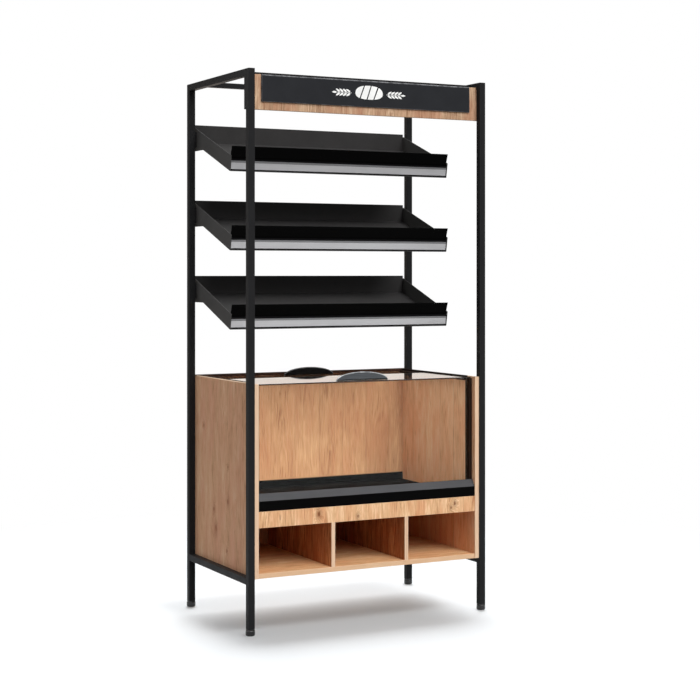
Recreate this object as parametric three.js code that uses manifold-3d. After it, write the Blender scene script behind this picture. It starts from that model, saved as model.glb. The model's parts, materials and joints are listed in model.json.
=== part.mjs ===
// A bakery bread rack: a square-tube frame that carries a header sign, three tilted tray shelves,
// a clear-fronted bin with two sliding lids, and three open cubbies under the bin.
// Millimetres, +Z up, front towards -Y. The origin is on the floor under the middle of the rack.
import * as THREE from 'three';
import { mergeVertices } from 'three/addons/utils/BufferGeometryUtils.js';
import Module from 'manifold-3d';

const wasm = await Module();
wasm.setup();

// Footprint and frame tube
const WIDTH = 1000;
const DEPTH = 600;
const TUBE = 25;
const TUBE_WALL = 1.5;
const TUBE_CORNER = 1;
const BORE_CORNER = 1;
const CROSS_TUBE = 20;
const POST_CAP = 2;

// Levelling feet and the plugs that they screw into
const FOOT_DIAMETER = 34;
const FOOT_HEIGHT = 20;
const FOOT_EDGE = 5;
const STUD_DIAMETER = 10;
const STUD_LENGTH = 26;
const STUD_CLEARANCE = 0.3;
const FOOT_RUNNING_GAP = 0.3;
const PLUG_FLANGE = 3;
const PLUG_LENGTH = 20;
const PLUG_CLEARANCE = 0.25;

// Heights, stacked from the floor up
const LEG_CLEARANCE = 182;
const CUBBY_HEIGHT = 164;
const APRON_HEIGHT = 59;
const BIN_HEIGHT = 461;
const FIRST_SHELF_RISE = 189.5;
const SHELF_PITCH = 296;
const SHELF_COUNT = 3;
const TOP_RISE = 357.5;

// Boards
const BOARD = 18;
const DIVIDER = 15;
const DIVIDER_COUNT = 2;
const PANEL_INSET = 6;
const FRONT_REVEAL = 3;

// Cross rails, each placed from the nearest end of the rack
const TOP_FRONT_RAIL_INSET = 116;
const TOP_REAR_RAIL_INSET = 119;
const BOTTOM_RAIL_INSET = 140;

// Header board, its end brackets and the sign on it
const HEADER_DROP = 18;
const HEADER_HEIGHT = 128;
const HEADER_BOARD = 15;
const HEADER_PLATE = 2;
const HEADER_FLANGE = 30;
const HEADER_NOTCH_CLEARANCE = 1;
const SIGN_SIDE_MARGIN = 35;
const SIGN_FOOT_MARGIN = 29.5;
const SIGN_THICKNESS = 6;
const SIGN_EDGE = 4;

// Tray shelves
const SHELF_TILT = THREE.MathUtils.degToRad(20);
const SHELF_REACH = 355;
const SHELF_REAR_GAP = 2;
const SHELF_SIDE_GAP = 6;
const SHEET = 2;
const SIDE_HEIGHT = 58.5;
const NOSE_LEAN = THREE.MathUtils.degToRad(9);
const NOSE_HEM = 4;
const LIP_SETBACK = 17.5;
const LIP_HEIGHT = 93.5;
const BACK_WALL_RISE = 71.5;
const EAR_LENGTH = 88;
const SPACER_WIDTH = 20;
const SPACER_HEIGHT = 60;
const SPACER_LIFT = 15;
const SPACER_CORNER = 4;

// Price rail in front of each lip, hollow, with a sunk face for a card
const RAIL_HEIGHT = 41;
const RAIL_WALL = 1.5;
const RAIL_SINK = 1.5;
const RAIL_INSET = 2;
const RAIL_UPPER_HOOK = 5.5;
const RAIL_LOWER_HOOK = 3;
const RAIL_END_GAP = 1;
const RAIL_TAPE = 0.3;

// Bin tray with its raised front lip
const TRAY_FRONT_HEIGHT = 36;
const TRAY_LIP_RISE = 28;
const TRAY_LIP_RUN = 16;
const TRAY_BACK_HEIGHT = 30;

// Front glass and the channels that hold its ends
const GLASS = 6;
const GLASS_CLEARANCE = 0.5;
const CHANNEL_DEPTH = 12;
const CHANNEL_WIDTH = 32;
const CHANNEL_FRONT_LAND = 7;
const CHANNEL_WEB = 3;
const CHANNEL_LIP_GAP = 4;

// Sliding lids, their tracks and handles
const LID = 4;
const LID_TOP_DROP = 2;
const LID_STEP = 6.5;
const LID_CLEARANCE = 0.5;
const LID_RUNNING_GAP = 0.3;
const FRONT_LID_LENGTH = 316;
const FRONT_LID_NOSE = 3;
const LID_OVERLAP = 33;
const TRACK_WIDTH = 15;
const TRACK_WEB = 3;
const TRACK_LEDGE = 3;
const HANDLE_WIDTH = 220;
const HANDLE_HEIGHT = 31.5;
const HANDLE_THICKNESS = 6;
const FRONT_HANDLE_INSET = 43;
const REAR_HANDLE_INSET = 44;

// How far a cutting shape runs past the piece that it cuts
const CUT_OVERRUN = 1;

// Smoothness of round shapes
const CORNER_STEPS = 4;
const ROUND_STEPS = 28;
const HANDLE_STEPS = 24;

// Levels and faces that several pieces share
const halfWidth = WIDTH / 2;
const halfDepth = DEPTH / 2;
const postX = halfWidth - TUBE / 2;
const postY = halfDepth - TUBE / 2;
const postInnerX = halfWidth - TUBE;
const postInnerY = halfDepth - TUBE;
const postFootZ = FOOT_HEIGHT + FOOT_RUNNING_GAP + PLUG_FLANGE;
const boardZ = LEG_CLEARANCE + CROSS_TUBE;
const cubbyZ = boardZ + BOARD;
const apronZ = cubbyZ + CUBBY_HEIGHT;
const deckZ = apronZ + APRON_HEIGHT;
const binTopZ = deckZ + BIN_HEIGHT;
const firstShelfZ = binTopZ + FIRST_SHELF_RISE;
const topZ = firstShelfZ + SHELF_PITCH * (SHELF_COUNT - 1) + TOP_RISE;
const panelInnerX = postInnerX - BOARD;
const panelFrontY = -halfDepth + PANEL_INSET;
const frontY = panelFrontY + FRONT_REVEAL;
const apronBackY = frontY + BOARD;
const backPanelY = halfDepth - BOARD;
const channelFrontY = frontY + TRAY_LIP_RUN + CHANNEL_LIP_GAP;
const channelBackY = channelFrontY + CHANNEL_WIDTH;
const glassFrontY = channelFrontY + CHANNEL_FRONT_LAND + GLASS_CLEARANCE;
const frontLidZ = binTopZ - LID_TOP_DROP - LID;
const rearLidZ = frontLidZ - LID_STEP;

const finishes = {
  powderCoat: { color: 0x2b2b2c, roughness: 0.55, metalness: 0.3 },
  trayBlack: { color: 0x161617, roughness: 0.5, metalness: 0.3 },
  plasticBlack: { color: 0x141414, roughness: 0.6, metalness: 0 },
  oak: { color: 0xc89a70, roughness: 0.6, metalness: 0 },
  signBlack: { color: 0x2e2f32, roughness: 0.45, metalness: 0 },
  railGrey: { color: 0xb4b4b6, roughness: 0.45, metalness: 0 },
  clear: { color: 0xe8efee, roughness: 0.05, metalness: 0, transparent: true, opacity: 0.25 },
};

const rack = new THREE.Group();

// Adds one named piece to a group.
function addPiece(name, geometry, finish, position = [0, 0, 0], parent = rack) {
  const mesh = new THREE.Mesh(geometry, new THREE.MeshStandardMaterial(finishes[finish]));
  mesh.name = name;
  mesh.position.set(...position);
  parent.add(mesh);
  return mesh;
}

// A closed outline from a list of points.
function outline(points) {
  return new THREE.Shape(points.map(([a, b]) => new THREE.Vector2(a, b)));
}

// A rectangle with round corners, centred on the origin.
function roundedRectangle(width, height, radius) {
  const [x, y] = [width / 2 - radius, height / 2 - radius];
  const shape = new THREE.Shape();
  shape.absarc(x, y, radius, 0, Math.PI / 2);
  shape.absarc(-x, y, radius, Math.PI / 2, Math.PI);
  shape.absarc(-x, -y, radius, Math.PI, Math.PI * 1.5);
  shape.absarc(x, -y, radius, Math.PI * 1.5, Math.PI * 2);
  shape.closePath();
  return shape;
}

// Shapes drawn in XY and carried up Z.
function extrudeZ(shape, z0, z1, curveSegments = CORNER_STEPS) {
  const options = { depth: z1 - z0, bevelEnabled: false, curveSegments };
  return new THREE.ExtrudeGeometry(shape, options).translate(0, 0, z0);
}

// Shapes drawn in YZ and carried along X.
function extrudeX(shape, x0, x1) {
  const turn = new THREE.Matrix4().makeBasis(
    new THREE.Vector3(0, 1, 0), new THREE.Vector3(0, 0, 1), new THREE.Vector3(1, 0, 0));
  return extrudeZ(shape, x0, x1).applyMatrix4(turn);
}

// Shapes drawn in XZ and carried along Y.
function extrudeY(shape, y0, y1, curveSegments = CORNER_STEPS) {
  const turn = new THREE.Matrix4().makeBasis(
    new THREE.Vector3(1, 0, 0), new THREE.Vector3(0, 0, 1), new THREE.Vector3(0, -1, 0));
  return extrudeZ(shape, -y1, -y0, curveSegments).applyMatrix4(turn);
}

// A box between two corners.
function block([x0, x1], [y0, y1], [z0, z1]) {
  const box = new THREE.BoxGeometry(x1 - x0, y1 - y0, z1 - z0);
  return box.translate((x0 + x1) / 2, (y0 + y1) / 2, (z0 + z1) / 2);
}

// A closed geometry as a manifold solid.
function solidOf(geometry) {
  const bare = new THREE.BufferGeometry();
  bare.setAttribute('position', geometry.getAttribute('position'));
  bare.setIndex(geometry.getIndex());
  const merged = mergeVertices(bare);
  return new wasm.Manifold(new wasm.Mesh({
    numProp: 3,
    vertProperties: new Float32Array(merged.getAttribute('position').array),
    triVerts: new Uint32Array(merged.getIndex().array),
  }));
}

// A manifold solid as a geometry.
function geometryOf(solid) {
  const { vertProperties, triVerts } = solid.getMesh();
  const geometry = new THREE.BufferGeometry();
  geometry.setAttribute('position', new THREE.BufferAttribute(vertProperties, 3));
  geometry.setIndex(new THREE.BufferAttribute(triVerts, 1));
  return geometry;
}

// The section of a hollow square tube.
function tubeSection(size) {
  const shape = roundedRectangle(size, size, TUBE_CORNER);
  const bore = size - 2 * TUBE_WALL;
  shape.holes.push(roundedRectangle(bore, bore, BORE_CORNER));
  return shape;
}

// The two sides of the rack and its four corners.
const sides = [['left', -1], ['right', 1]];
const ends = [['front', -1], ['rear', 1]];
const corners = ends.flatMap(([end, y]) => sides.map(([side, x]) => [`${end}_${side}`, x, y]));

// An extent on one side of the middle plane, lowest end first.
function mirrored(sign, a, b) {
  return [sign * a, sign * b].sort((p, q) => p - q);
}

// A post is a tube that is open at its foot, where the plug goes in, and closed at its top.
function postGeometry() {
  const bore = TUBE - 2 * TUBE_WALL;
  const outer = extrudeZ(roundedRectangle(TUBE, TUBE, TUBE_CORNER), postFootZ, topZ);
  const boreFootZ = postFootZ - CUT_OVERRUN;
  const inner = extrudeZ(roundedRectangle(bore, bore, BORE_CORNER), boreFootZ, topZ - POST_CAP);
  return geometryOf(solidOf(outer).subtract(solidOf(inner)));
}

// A plug is a flange under the tube's end, a square body inside it and a bore for the stud.
function plugGeometry() {
  const body = TUBE - 2 * TUBE_WALL - 2 * PLUG_CLEARANCE;
  const [plugFootZ, plugTopZ] = [postFootZ - PLUG_FLANGE, postFootZ + PLUG_LENGTH];
  const flange = extrudeZ(roundedRectangle(TUBE, TUBE, TUBE_CORNER), plugFootZ, postFootZ);
  const core = extrudeZ(roundedRectangle(body, body, BORE_CORNER), plugFootZ, plugTopZ);
  const radius = STUD_DIAMETER / 2 + STUD_CLEARANCE;
  const boreLength = plugTopZ - plugFootZ + 2 * CUT_OVERRUN;
  const bore = new THREE.CylinderGeometry(radius, radius, boreLength, ROUND_STEPS);
  bore.rotateX(Math.PI / 2).translate(0, 0, (plugFootZ + plugTopZ) / 2);
  return geometryOf(solidOf(flange).add(solidOf(core)).subtract(solidOf(bore)));
}

// A foot is a disc with a rounded lower edge and a stud that goes up into the plug.
function footGeometry() {
  const radius = FOOT_DIAMETER / 2;
  const stud = STUD_DIAMETER / 2;
  const profile = [new THREE.Vector2(0, 0)];
  for (let step = 0; step <= CORNER_STEPS; step += 1) {
    const angle = (step / CORNER_STEPS) * (Math.PI / 2);
    const across = radius - FOOT_EDGE + FOOT_EDGE * Math.sin(angle);
    profile.push(new THREE.Vector2(across, FOOT_EDGE - FOOT_EDGE * Math.cos(angle)));
  }
  profile.push(new THREE.Vector2(radius, FOOT_HEIGHT));
  profile.push(new THREE.Vector2(stud, FOOT_HEIGHT));
  profile.push(new THREE.Vector2(stud, FOOT_HEIGHT + STUD_LENGTH));
  profile.push(new THREE.Vector2(0, FOOT_HEIGHT + STUD_LENGTH));
  return new THREE.LatheGeometry(profile, ROUND_STEPS).rotateX(Math.PI / 2);
}

function addFrame() {
  for (const [corner, x, y] of corners) {
    const place = [x * postX, y * postY, 0];
    addPiece(`post_${corner}`, postGeometry(), 'powderCoat', place);
    addPiece(`foot_plug_${corner}`, plugGeometry(), 'plasticBlack', place);
    addPiece(`foot_${corner}`, footGeometry(), 'plasticBlack', place);
  }
  for (const [side, x] of sides) {
    const rail = extrudeY(tubeSection(TUBE), -postInnerY, postInnerY);
    addPiece(`top_rail_${side}`, rail, 'powderCoat', [x * postX, 0, topZ - TUBE / 2]);
    addPiece(`bottom_rail_${side}`, rail.clone(), 'powderCoat', [x * postX, 0, LEG_CLEARANCE + TUBE / 2]);
  }
  for (const [end, y] of ends) {
    const rail = extrudeX(tubeSection(CROSS_TUBE), -postInnerX, postInnerX);
    const topInset = y < 0 ? TOP_FRONT_RAIL_INSET : TOP_REAR_RAIL_INSET;
    const topPlace = [0, y * (halfDepth - topInset), topZ - CROSS_TUBE / 2];
    const bottomPlace = [0, y * (halfDepth - BOTTOM_RAIL_INSET), LEG_CLEARANCE + CROSS_TUBE / 2];
    addPiece(`top_cross_rail_${end}`, rail, 'powderCoat', topPlace);
    addPiece(`bottom_cross_rail_${end}`, rail.clone(), 'powderCoat', bottomPlace);
  }
}

// The header board lies behind the front posts, notched under the side rails, and its ends are
// held by angle brackets. The sign is a flat plate with a rounded upper edge.
function addHeader() {
  const top = topZ - HEADER_DROP;
  const foot = top - HEADER_HEIGHT;
  const faceY = -postInnerY;
  const backY = faceY + HEADER_BOARD;
  const endX = halfWidth - HEADER_PLATE;
  const notchX = postInnerX - HEADER_NOTCH_CLEARANCE;
  const notchZ = Math.min(top, topZ - TUBE - HEADER_NOTCH_CLEARANCE);
  const board = outline([
    [-endX, foot], [endX, foot], [endX, notchZ], [notchX, notchZ],
    [notchX, top], [-notchX, top], [-notchX, notchZ], [-endX, notchZ],
  ]);
  addPiece('header_board', extrudeY(board, faceY, backY), 'oak');

  for (const [side, x] of sides) {
    const angle = [
      [halfWidth, faceY], [halfWidth, backY + HEADER_PLATE], [halfWidth - HEADER_FLANGE, backY + HEADER_PLATE],
      [halfWidth - HEADER_FLANGE, backY], [endX, backY], [endX, faceY],
    ];
    const points = x > 0 ? angle : angle.map(([a, b]) => [-a, b]);
    addPiece(`header_bracket_${side}`, extrudeZ(outline(points), foot, notchZ), 'powderCoat');
  }

  const signFoot = foot + SIGN_FOOT_MARGIN;
  const signFace = faceY - SIGN_THICKNESS;
  const sign = new THREE.Shape();
  sign.moveTo(faceY, signFoot);
  sign.lineTo(faceY, top);
  sign.lineTo(signFace + SIGN_EDGE, top);
  sign.absarc(signFace + SIGN_EDGE, top - SIGN_EDGE, SIGN_EDGE, Math.PI / 2, Math.PI);
  sign.lineTo(signFace, signFoot);
  sign.closePath();
  const signX = postInnerX - SIGN_SIDE_MARGIN;
  addPiece('sign_panel', extrudeX(sign, -signX, signX), 'signBlack');
}

// A point on a shelf's side view, from the lower front corner: along the floor and square to it.
function onShelf(along, up) {
  const rearY = halfDepth - SHELF_REAR_GAP;
  const y = rearY - SHELF_REACH + along * Math.cos(SHELF_TILT) - up * Math.sin(SHELF_TILT);
  return [y, along * Math.sin(SHELF_TILT) + up * Math.cos(SHELF_TILT)];
}

// The height of the shelf line that lies a set distance above the floor's underside, at a given Y.
function shelfHeightAt(y, up) {
  const [startY, startZ] = onShelf(0, up);
  return startZ + (y - startY) * Math.tan(SHELF_TILT);
}

// The distance that the shelf's sloping front edge lies behind the lower front corner.
function noseAt(up) {
  return up * Math.tan(NOSE_LEAN);
}

// A folded tray: sloping floor with a front hem, a lip square to it and an upright back wall.
function shelfTrayShape() {
  const rearY = halfDepth - SHELF_REAR_GAP;
  const wallY = rearY - SHEET;
  const wallTop = shelfHeightAt(rearY, 0) + BACK_WALL_RISE;
  return outline([
    onShelf(0, 0), [rearY, shelfHeightAt(rearY, 0)], [rearY, wallTop], [wallY, wallTop],
    [wallY, shelfHeightAt(wallY, SHEET)], onShelf(LIP_SETBACK + SHEET, SHEET),
    onShelf(LIP_SETBACK + SHEET, LIP_HEIGHT), onShelf(LIP_SETBACK, LIP_HEIGHT),
    onShelf(LIP_SETBACK, SHEET), onShelf(SHEET, SHEET), onShelf(SHEET, NOSE_HEM), onShelf(0, NOSE_HEM),
  ]);
}

// A side plate closes the tray's end and drops to a level ear beside the rear post.
function shelfPlateShape() {
  const rearY = halfDepth - SHELF_REAR_GAP;
  const kneeY = rearY - EAR_LENGTH;
  const earZ = shelfHeightAt(kneeY, 0);
  return outline([
    onShelf(0, 0), [kneeY, earZ], [rearY, earZ],
    [rearY, shelfHeightAt(rearY, SIDE_HEIGHT)], onShelf(noseAt(SIDE_HEIGHT), SIDE_HEIGHT),
  ]);
}

// A price rail is a hollow wedge between the hem and the lip, with a hook above and below its face.
function priceRailShape() {
  const back = LIP_SETBACK - RAIL_TAPE;
  const foot = NOSE_HEM + RAIL_TAPE;
  const top = foot + RAIL_HEIGHT;
  const upper = top - RAIL_UPPER_HOOK;
  const lower = foot + RAIL_LOWER_HOOK;
  const face = (up) => RAIL_INSET + noseAt(up);
  const rail = outline([
    onShelf(back, foot), onShelf(back, top), onShelf(face(top), top), onShelf(face(upper), upper),
    onShelf(face(upper) + RAIL_SINK, upper), onShelf(face(lower) + RAIL_SINK, lower),
    onShelf(face(lower), lower), onShelf(face(foot), foot),
  ]);
  const inner = (up) => face(up) + RAIL_SINK + RAIL_WALL;
  rail.holes.push(outline([
    onShelf(back - RAIL_WALL, foot + RAIL_WALL), onShelf(inner(foot), foot + RAIL_WALL),
    onShelf(inner(top), top - RAIL_WALL), onShelf(back - RAIL_WALL, top - RAIL_WALL),
  ]));
  return rail;
}

function addShelf(number) {
  const shelf = new THREE.Group();
  shelf.position.z = firstShelfZ + SHELF_PITCH * (number - 1);
  rack.add(shelf);
  const plateX = postInnerX - SHELF_SIDE_GAP;
  const trayX = plateX - SHEET;
  const railX = trayX - RAIL_END_GAP;
  const tray = extrudeX(shelfTrayShape(), -trayX, trayX);
  const rail = extrudeX(priceRailShape(), -railX, railX);
  addPiece(`shelf_${number}_tray`, tray, 'trayBlack', [0, 0, 0], shelf);
  addPiece(`shelf_${number}_price_rail`, rail, 'railGrey', [0, 0, 0], shelf);

  const rearY = halfDepth - SHELF_REAR_GAP;
  const spacerZ = shelfHeightAt(rearY - EAR_LENGTH, 0) + SPACER_LIFT + SPACER_HEIGHT / 2;
  for (const [side, x] of sides) {
    const plate = extrudeX(shelfPlateShape(), ...mirrored(x, trayX, plateX));
    addPiece(`shelf_${number}_side_${side}`, plate, 'trayBlack', [0, 0, 0], shelf);
    const pad = roundedRectangle(SPACER_WIDTH, SPACER_HEIGHT, SPACER_CORNER);
    const spacer = extrudeX(pad, ...mirrored(x, plateX, postInnerX));
    addPiece(`shelf_${number}_spacer_${side}`, spacer, 'powderCoat', [0, postY, spacerZ], shelf);
  }
}

// The carcass: side panels against the posts, a back, a bottom on the cross rails, a deck and
// apron under the bin, and dividers notched round the apron.
function addCarcass() {
  const across = [-panelInnerX, panelInnerX];
  for (const [side, x] of sides) {
    const panel = block(mirrored(x, panelInnerX, postInnerX), [panelFrontY, halfDepth], [boardZ, binTopZ]);
    addPiece(`side_panel_${side}`, panel, 'oak');
  }
  addPiece('back_panel', block(across, [backPanelY, halfDepth], [boardZ, binTopZ]), 'oak');
  addPiece('bottom_board', block(across, [frontY, backPanelY], [boardZ, cubbyZ]), 'oak');
  addPiece('deck_board', block(across, [apronBackY, backPanelY], [deckZ - BOARD, deckZ]), 'oak');
  addPiece('apron', block(across, [frontY, apronBackY], [apronZ, deckZ]), 'oak');

  const underside = deckZ - BOARD;
  const divider = outline([
    [frontY, cubbyZ], [backPanelY, cubbyZ], [backPanelY, underside],
    [apronBackY, underside], [apronBackY, apronZ], [frontY, apronZ],
  ]);
  const cubbyWidth = (2 * panelInnerX - DIVIDER_COUNT * DIVIDER) / (DIVIDER_COUNT + 1);
  for (let number = 1; number <= DIVIDER_COUNT; number += 1) {
    const x = -panelInnerX + number * cubbyWidth + (number - 0.5) * DIVIDER;
    addPiece(`divider_${number}`, extrudeX(divider, -DIVIDER / 2, DIVIDER / 2), 'oak', [x, 0, 0]);
  }
}

// The bin tray is one folded sheet: upright front, sloping lip, floor and a low back edge.
function binTrayShape() {
  const bendZ = deckZ + TRAY_FRONT_HEIGHT;
  const tipY = frontY + TRAY_LIP_RUN;
  const tipZ = bendZ + TRAY_LIP_RISE;
  const slope = Math.hypot(TRAY_LIP_RUN, TRAY_LIP_RISE);
  const insetY = (SHEET * TRAY_LIP_RISE) / slope;
  const insetZ = (SHEET * TRAY_LIP_RUN) / slope;
  const innerBendZ = bendZ - insetZ + ((SHEET - insetY) * TRAY_LIP_RISE) / TRAY_LIP_RUN;
  const floorZ = deckZ + SHEET;
  return outline([
    [frontY, deckZ], [backPanelY, deckZ], [backPanelY, floorZ + TRAY_BACK_HEIGHT],
    [backPanelY - SHEET, floorZ + TRAY_BACK_HEIGHT], [backPanelY - SHEET, floorZ],
    [frontY + SHEET, floorZ], [frontY + SHEET, innerBendZ], [tipY + insetY, tipZ - insetZ],
    [tipY, tipZ], [frontY, bendZ],
  ]);
}

// A channel is a strip with a slot for the end of the glass.
function channelShape(sign) {
  const web = panelInnerX - CHANNEL_WEB;
  const lip = panelInnerX - CHANNEL_DEPTH;
  const slotFront = glassFrontY - GLASS_CLEARANCE;
  const slotBack = glassFrontY + GLASS + GLASS_CLEARANCE;
  const points = [
    [panelInnerX, channelFrontY], [panelInnerX, channelBackY], [lip, channelBackY], [lip, slotBack],
    [web, slotBack], [web, slotFront], [lip, slotFront], [lip, channelFrontY],
  ];
  return outline(points.map(([x, y]) => [sign * x, y]));
}

function addBin() {
  addPiece('bin_tray', extrudeX(binTrayShape(), -panelInnerX, panelInnerX), 'trayBlack');
  const floorZ = deckZ + SHEET;
  const glassTop = frontLidZ - LID_CLEARANCE;
  const glassX = panelInnerX - CHANNEL_WEB - GLASS_CLEARANCE;
  const glass = block([-glassX, glassX], [glassFrontY, glassFrontY + GLASS], [floorZ, glassTop]);
  addPiece('front_glass', glass, 'clear');
  for (const [side, x] of sides) {
    addPiece(`glass_channel_${side}`, extrudeZ(channelShape(x), floorZ, glassTop), 'plasticBlack');
  }
}

// A track has an open upper seat for the front lid and a slot below it for the rear lid.
function trackShape(sign) {
  const web = panelInnerX - TRACK_WEB;
  const lip = panelInnerX - TRACK_WIDTH;
  const upperSeat = frontLidZ - LID_RUNNING_GAP;
  const slotTop = rearLidZ + LID + LID_RUNNING_GAP;
  const slotFoot = rearLidZ - LID_RUNNING_GAP;
  const foot = slotFoot - TRACK_LEDGE;
  const points = [
    [panelInnerX, foot], [panelInnerX, binTopZ], [web, binTopZ], [web, upperSeat], [lip, upperSeat],
    [lip, slotTop], [web, slotTop], [web, slotFoot], [lip, slotFoot], [lip, foot],
  ];
  return outline(points.map(([x, z]) => [sign * x, z]));
}

// A handle is an upright half-moon, the upper half of an ellipse.
function handleGeometry() {
  const moon = new THREE.Shape();
  moon.absellipse(0, 0, HANDLE_WIDTH / 2, HANDLE_HEIGHT, 0, Math.PI);
  moon.closePath();
  const [y0, y1] = [-HANDLE_THICKNESS / 2, HANDLE_THICKNESS / 2];
  return extrudeY(moon, y0, y1, HANDLE_STEPS);
}

function addLids() {
  const lidX = panelInnerX - TRACK_WEB - LID_CLEARANCE;
  const across = [-lidX, lidX];
  const lidFront = channelFrontY + FRONT_LID_NOSE;
  const lidBack = backPanelY - LID_CLEARANCE;
  const frontLidBack = lidFront + FRONT_LID_LENGTH;
  const rearLidFront = frontLidBack - LID_OVERLAP;
  for (const [side, x] of sides) {
    const track = extrudeY(trackShape(x), channelBackY, backPanelY);
    addPiece(`lid_track_${side}`, track, 'plasticBlack');
  }
  const frontLid = block(across, [lidFront, frontLidBack], [frontLidZ, frontLidZ + LID]);
  const rearLid = block(across, [rearLidFront, lidBack], [rearLidZ, rearLidZ + LID]);
  addPiece('front_lid', frontLid, 'clear');
  addPiece('rear_lid', rearLid, 'clear');
  const frontPlace = [0, lidFront + FRONT_HANDLE_INSET, frontLidZ + LID];
  const rearPlace = [0, lidBack - REAR_HANDLE_INSET, rearLidZ + LID];
  addPiece('front_handle', handleGeometry(), 'plasticBlack', frontPlace);
  addPiece('rear_handle', handleGeometry(), 'plasticBlack', rearPlace);
}

addFrame();
addHeader();
for (let number = 1; number <= SHELF_COUNT; number += 1) {
  addShelf(number);
}
addCarcass();
addBin();
addLids();

export default rack;
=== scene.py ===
"""A bakery bread rack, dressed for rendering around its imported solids.

Sizes in the classes are millimetres, with +Z up and the front towards -Y. The origin lies on the
floor under the middle of the rack. Meshes are turned into metres when a piece is made.
"""

import json
import logging
import math
from dataclasses import dataclass
from enum import Enum
from typing import Sequence

import bpy
import numpy as np
from numpy.typing import NDArray
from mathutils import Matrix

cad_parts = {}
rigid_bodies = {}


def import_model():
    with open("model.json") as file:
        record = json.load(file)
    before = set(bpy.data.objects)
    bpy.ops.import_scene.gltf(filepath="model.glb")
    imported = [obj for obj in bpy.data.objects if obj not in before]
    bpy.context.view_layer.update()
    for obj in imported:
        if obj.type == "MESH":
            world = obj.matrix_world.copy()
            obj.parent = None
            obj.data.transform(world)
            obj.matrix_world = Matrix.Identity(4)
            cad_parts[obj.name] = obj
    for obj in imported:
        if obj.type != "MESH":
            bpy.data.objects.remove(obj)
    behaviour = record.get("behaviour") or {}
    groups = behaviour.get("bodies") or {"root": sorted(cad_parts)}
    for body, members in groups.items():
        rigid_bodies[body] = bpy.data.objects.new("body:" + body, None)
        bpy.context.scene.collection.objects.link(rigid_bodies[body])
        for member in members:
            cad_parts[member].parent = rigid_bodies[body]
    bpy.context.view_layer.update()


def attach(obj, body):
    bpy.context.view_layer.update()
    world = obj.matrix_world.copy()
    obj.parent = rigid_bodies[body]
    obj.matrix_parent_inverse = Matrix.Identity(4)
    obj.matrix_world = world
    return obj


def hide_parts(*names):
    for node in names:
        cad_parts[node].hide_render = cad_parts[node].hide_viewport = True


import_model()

LOG = logging.getLogger("bread_rack")
MM = 0.001
# Heights of the trays' lower front corners, from below
SHELF_BASES = (1093.5, 1389.5, 1685.5)
# The range that holds most of a noise's values
NOISE_BODY = (0.3, 0.7)

Array = NDArray[np.float64]
Colour = tuple[float, float, float]
Place = tuple[float, float, float]
Pair = tuple[float, float]
Corners = tuple[Place, Place]
Socket = bpy.types.NodeSocket
Value = Socket | float


class Axis(Enum):
    """The direction that an outline is carried along."""

    X = "x"
    Y = "y"
    Z = "z"


class Grain(Enum):
    """The way that the fibres of a board run."""

    UPRIGHT = "upright"
    CROSSWISE = "crosswise"


class Side(Enum):
    """The two sides of the rack, with the sign of X on each."""

    LEFT = -1
    RIGHT = 1

    @property
    def label(self) -> str:
        """The side's name in piece names."""
        return self.name.lower()


class End(Enum):
    """The two ends of the rack's depth, with the sign of Y on each."""

    FRONT = -1
    REAR = 1

    @property
    def label(self) -> str:
        """The end's name in piece names."""
        return self.name.lower()


class Body(Enum):
    """The bodies of the rack, apart from the four feet."""

    RACK = "rack"
    FRONT_LID = "front_lid"
    REAR_LID = "rear_lid"


def linear(red: float, green: float, blue: float) -> Colour:
    """Turns a screen colour into scene-linear light.

    Args:
        red: Red part, 0 to 255.
        green: Green part, 0 to 255.
        blue: Blue part, 0 to 255.

    Returns:
        The colour's linear parts, 0 to 1.
    """
    parts = np.array([red, green, blue]) / 255.0
    low = parts / 12.92
    high = ((parts + 0.055) / 1.055) ** 2.4
    mixed = np.where(parts <= 0.04045, low, high)
    return float(mixed[0]), float(mixed[1]), float(mixed[2])


@dataclass
class Outline:
    """A closed flat outline, counter-clockwise.

    Attributes:
        points: Corner points, one row each.
        edge: 1 where a point lies on a rounded corner, 0 on a flat.
    """

    points: Array
    edge: Array

    def __post_init__(self) -> None:
        """Turns a clockwise outline round."""
        u, v = self.points.T
        area = np.sum(u * np.roll(v, -1) - v * np.roll(u, -1))
        if area < 0:
            self.points = self.points[::-1].copy()
            self.edge = self.edge[::-1].copy()

    def miter(self) -> Array:
        """Outward steps, one per point, that move every side by one unit.

        Returns:
            One row per point: (n0 + n1) / (1 + n0.n1), from the normals of the two sides.
        """
        step = np.roll(self.points, -1, axis=0) - self.points
        length = np.linalg.norm(step, axis=1, keepdims=True)
        normal = np.stack([step[:, 1], -step[:, 0]], axis=1) / length
        before = np.roll(normal, 1, axis=0)
        dot = np.sum(before * normal, axis=1, keepdims=True)
        return (before + normal) / (1.0 + dot)


@dataclass
class Surface:
    """A closed surface made of faces over an array of points.

    Attributes:
        points: Places in millimetres, one row each.
        faces: Lists of point numbers, outward side counter-clockwise.
        flat: True for each face that is shaded flat.
        edge: 1 at points on a rounded edge, 0 on a flat.
    """

    points: Array
    faces: list[list[int]]
    flat: NDArray[np.bool_]
    edge: Array

    def joined(self, other: "Surface") -> "Surface":
        """Puts another surface into the same mesh.

        Args:
            other: The surface to add.

        Returns:
            One surface that holds both.
        """
        first = len(self.points)
        moved = [[index + first for index in face] for face in other.faces]
        return Surface(
            np.concatenate([self.points, other.points]),
            self.faces + moved,
            np.concatenate([self.flat, other.flat]),
            np.concatenate([self.edge, other.edge]),
        )


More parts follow.
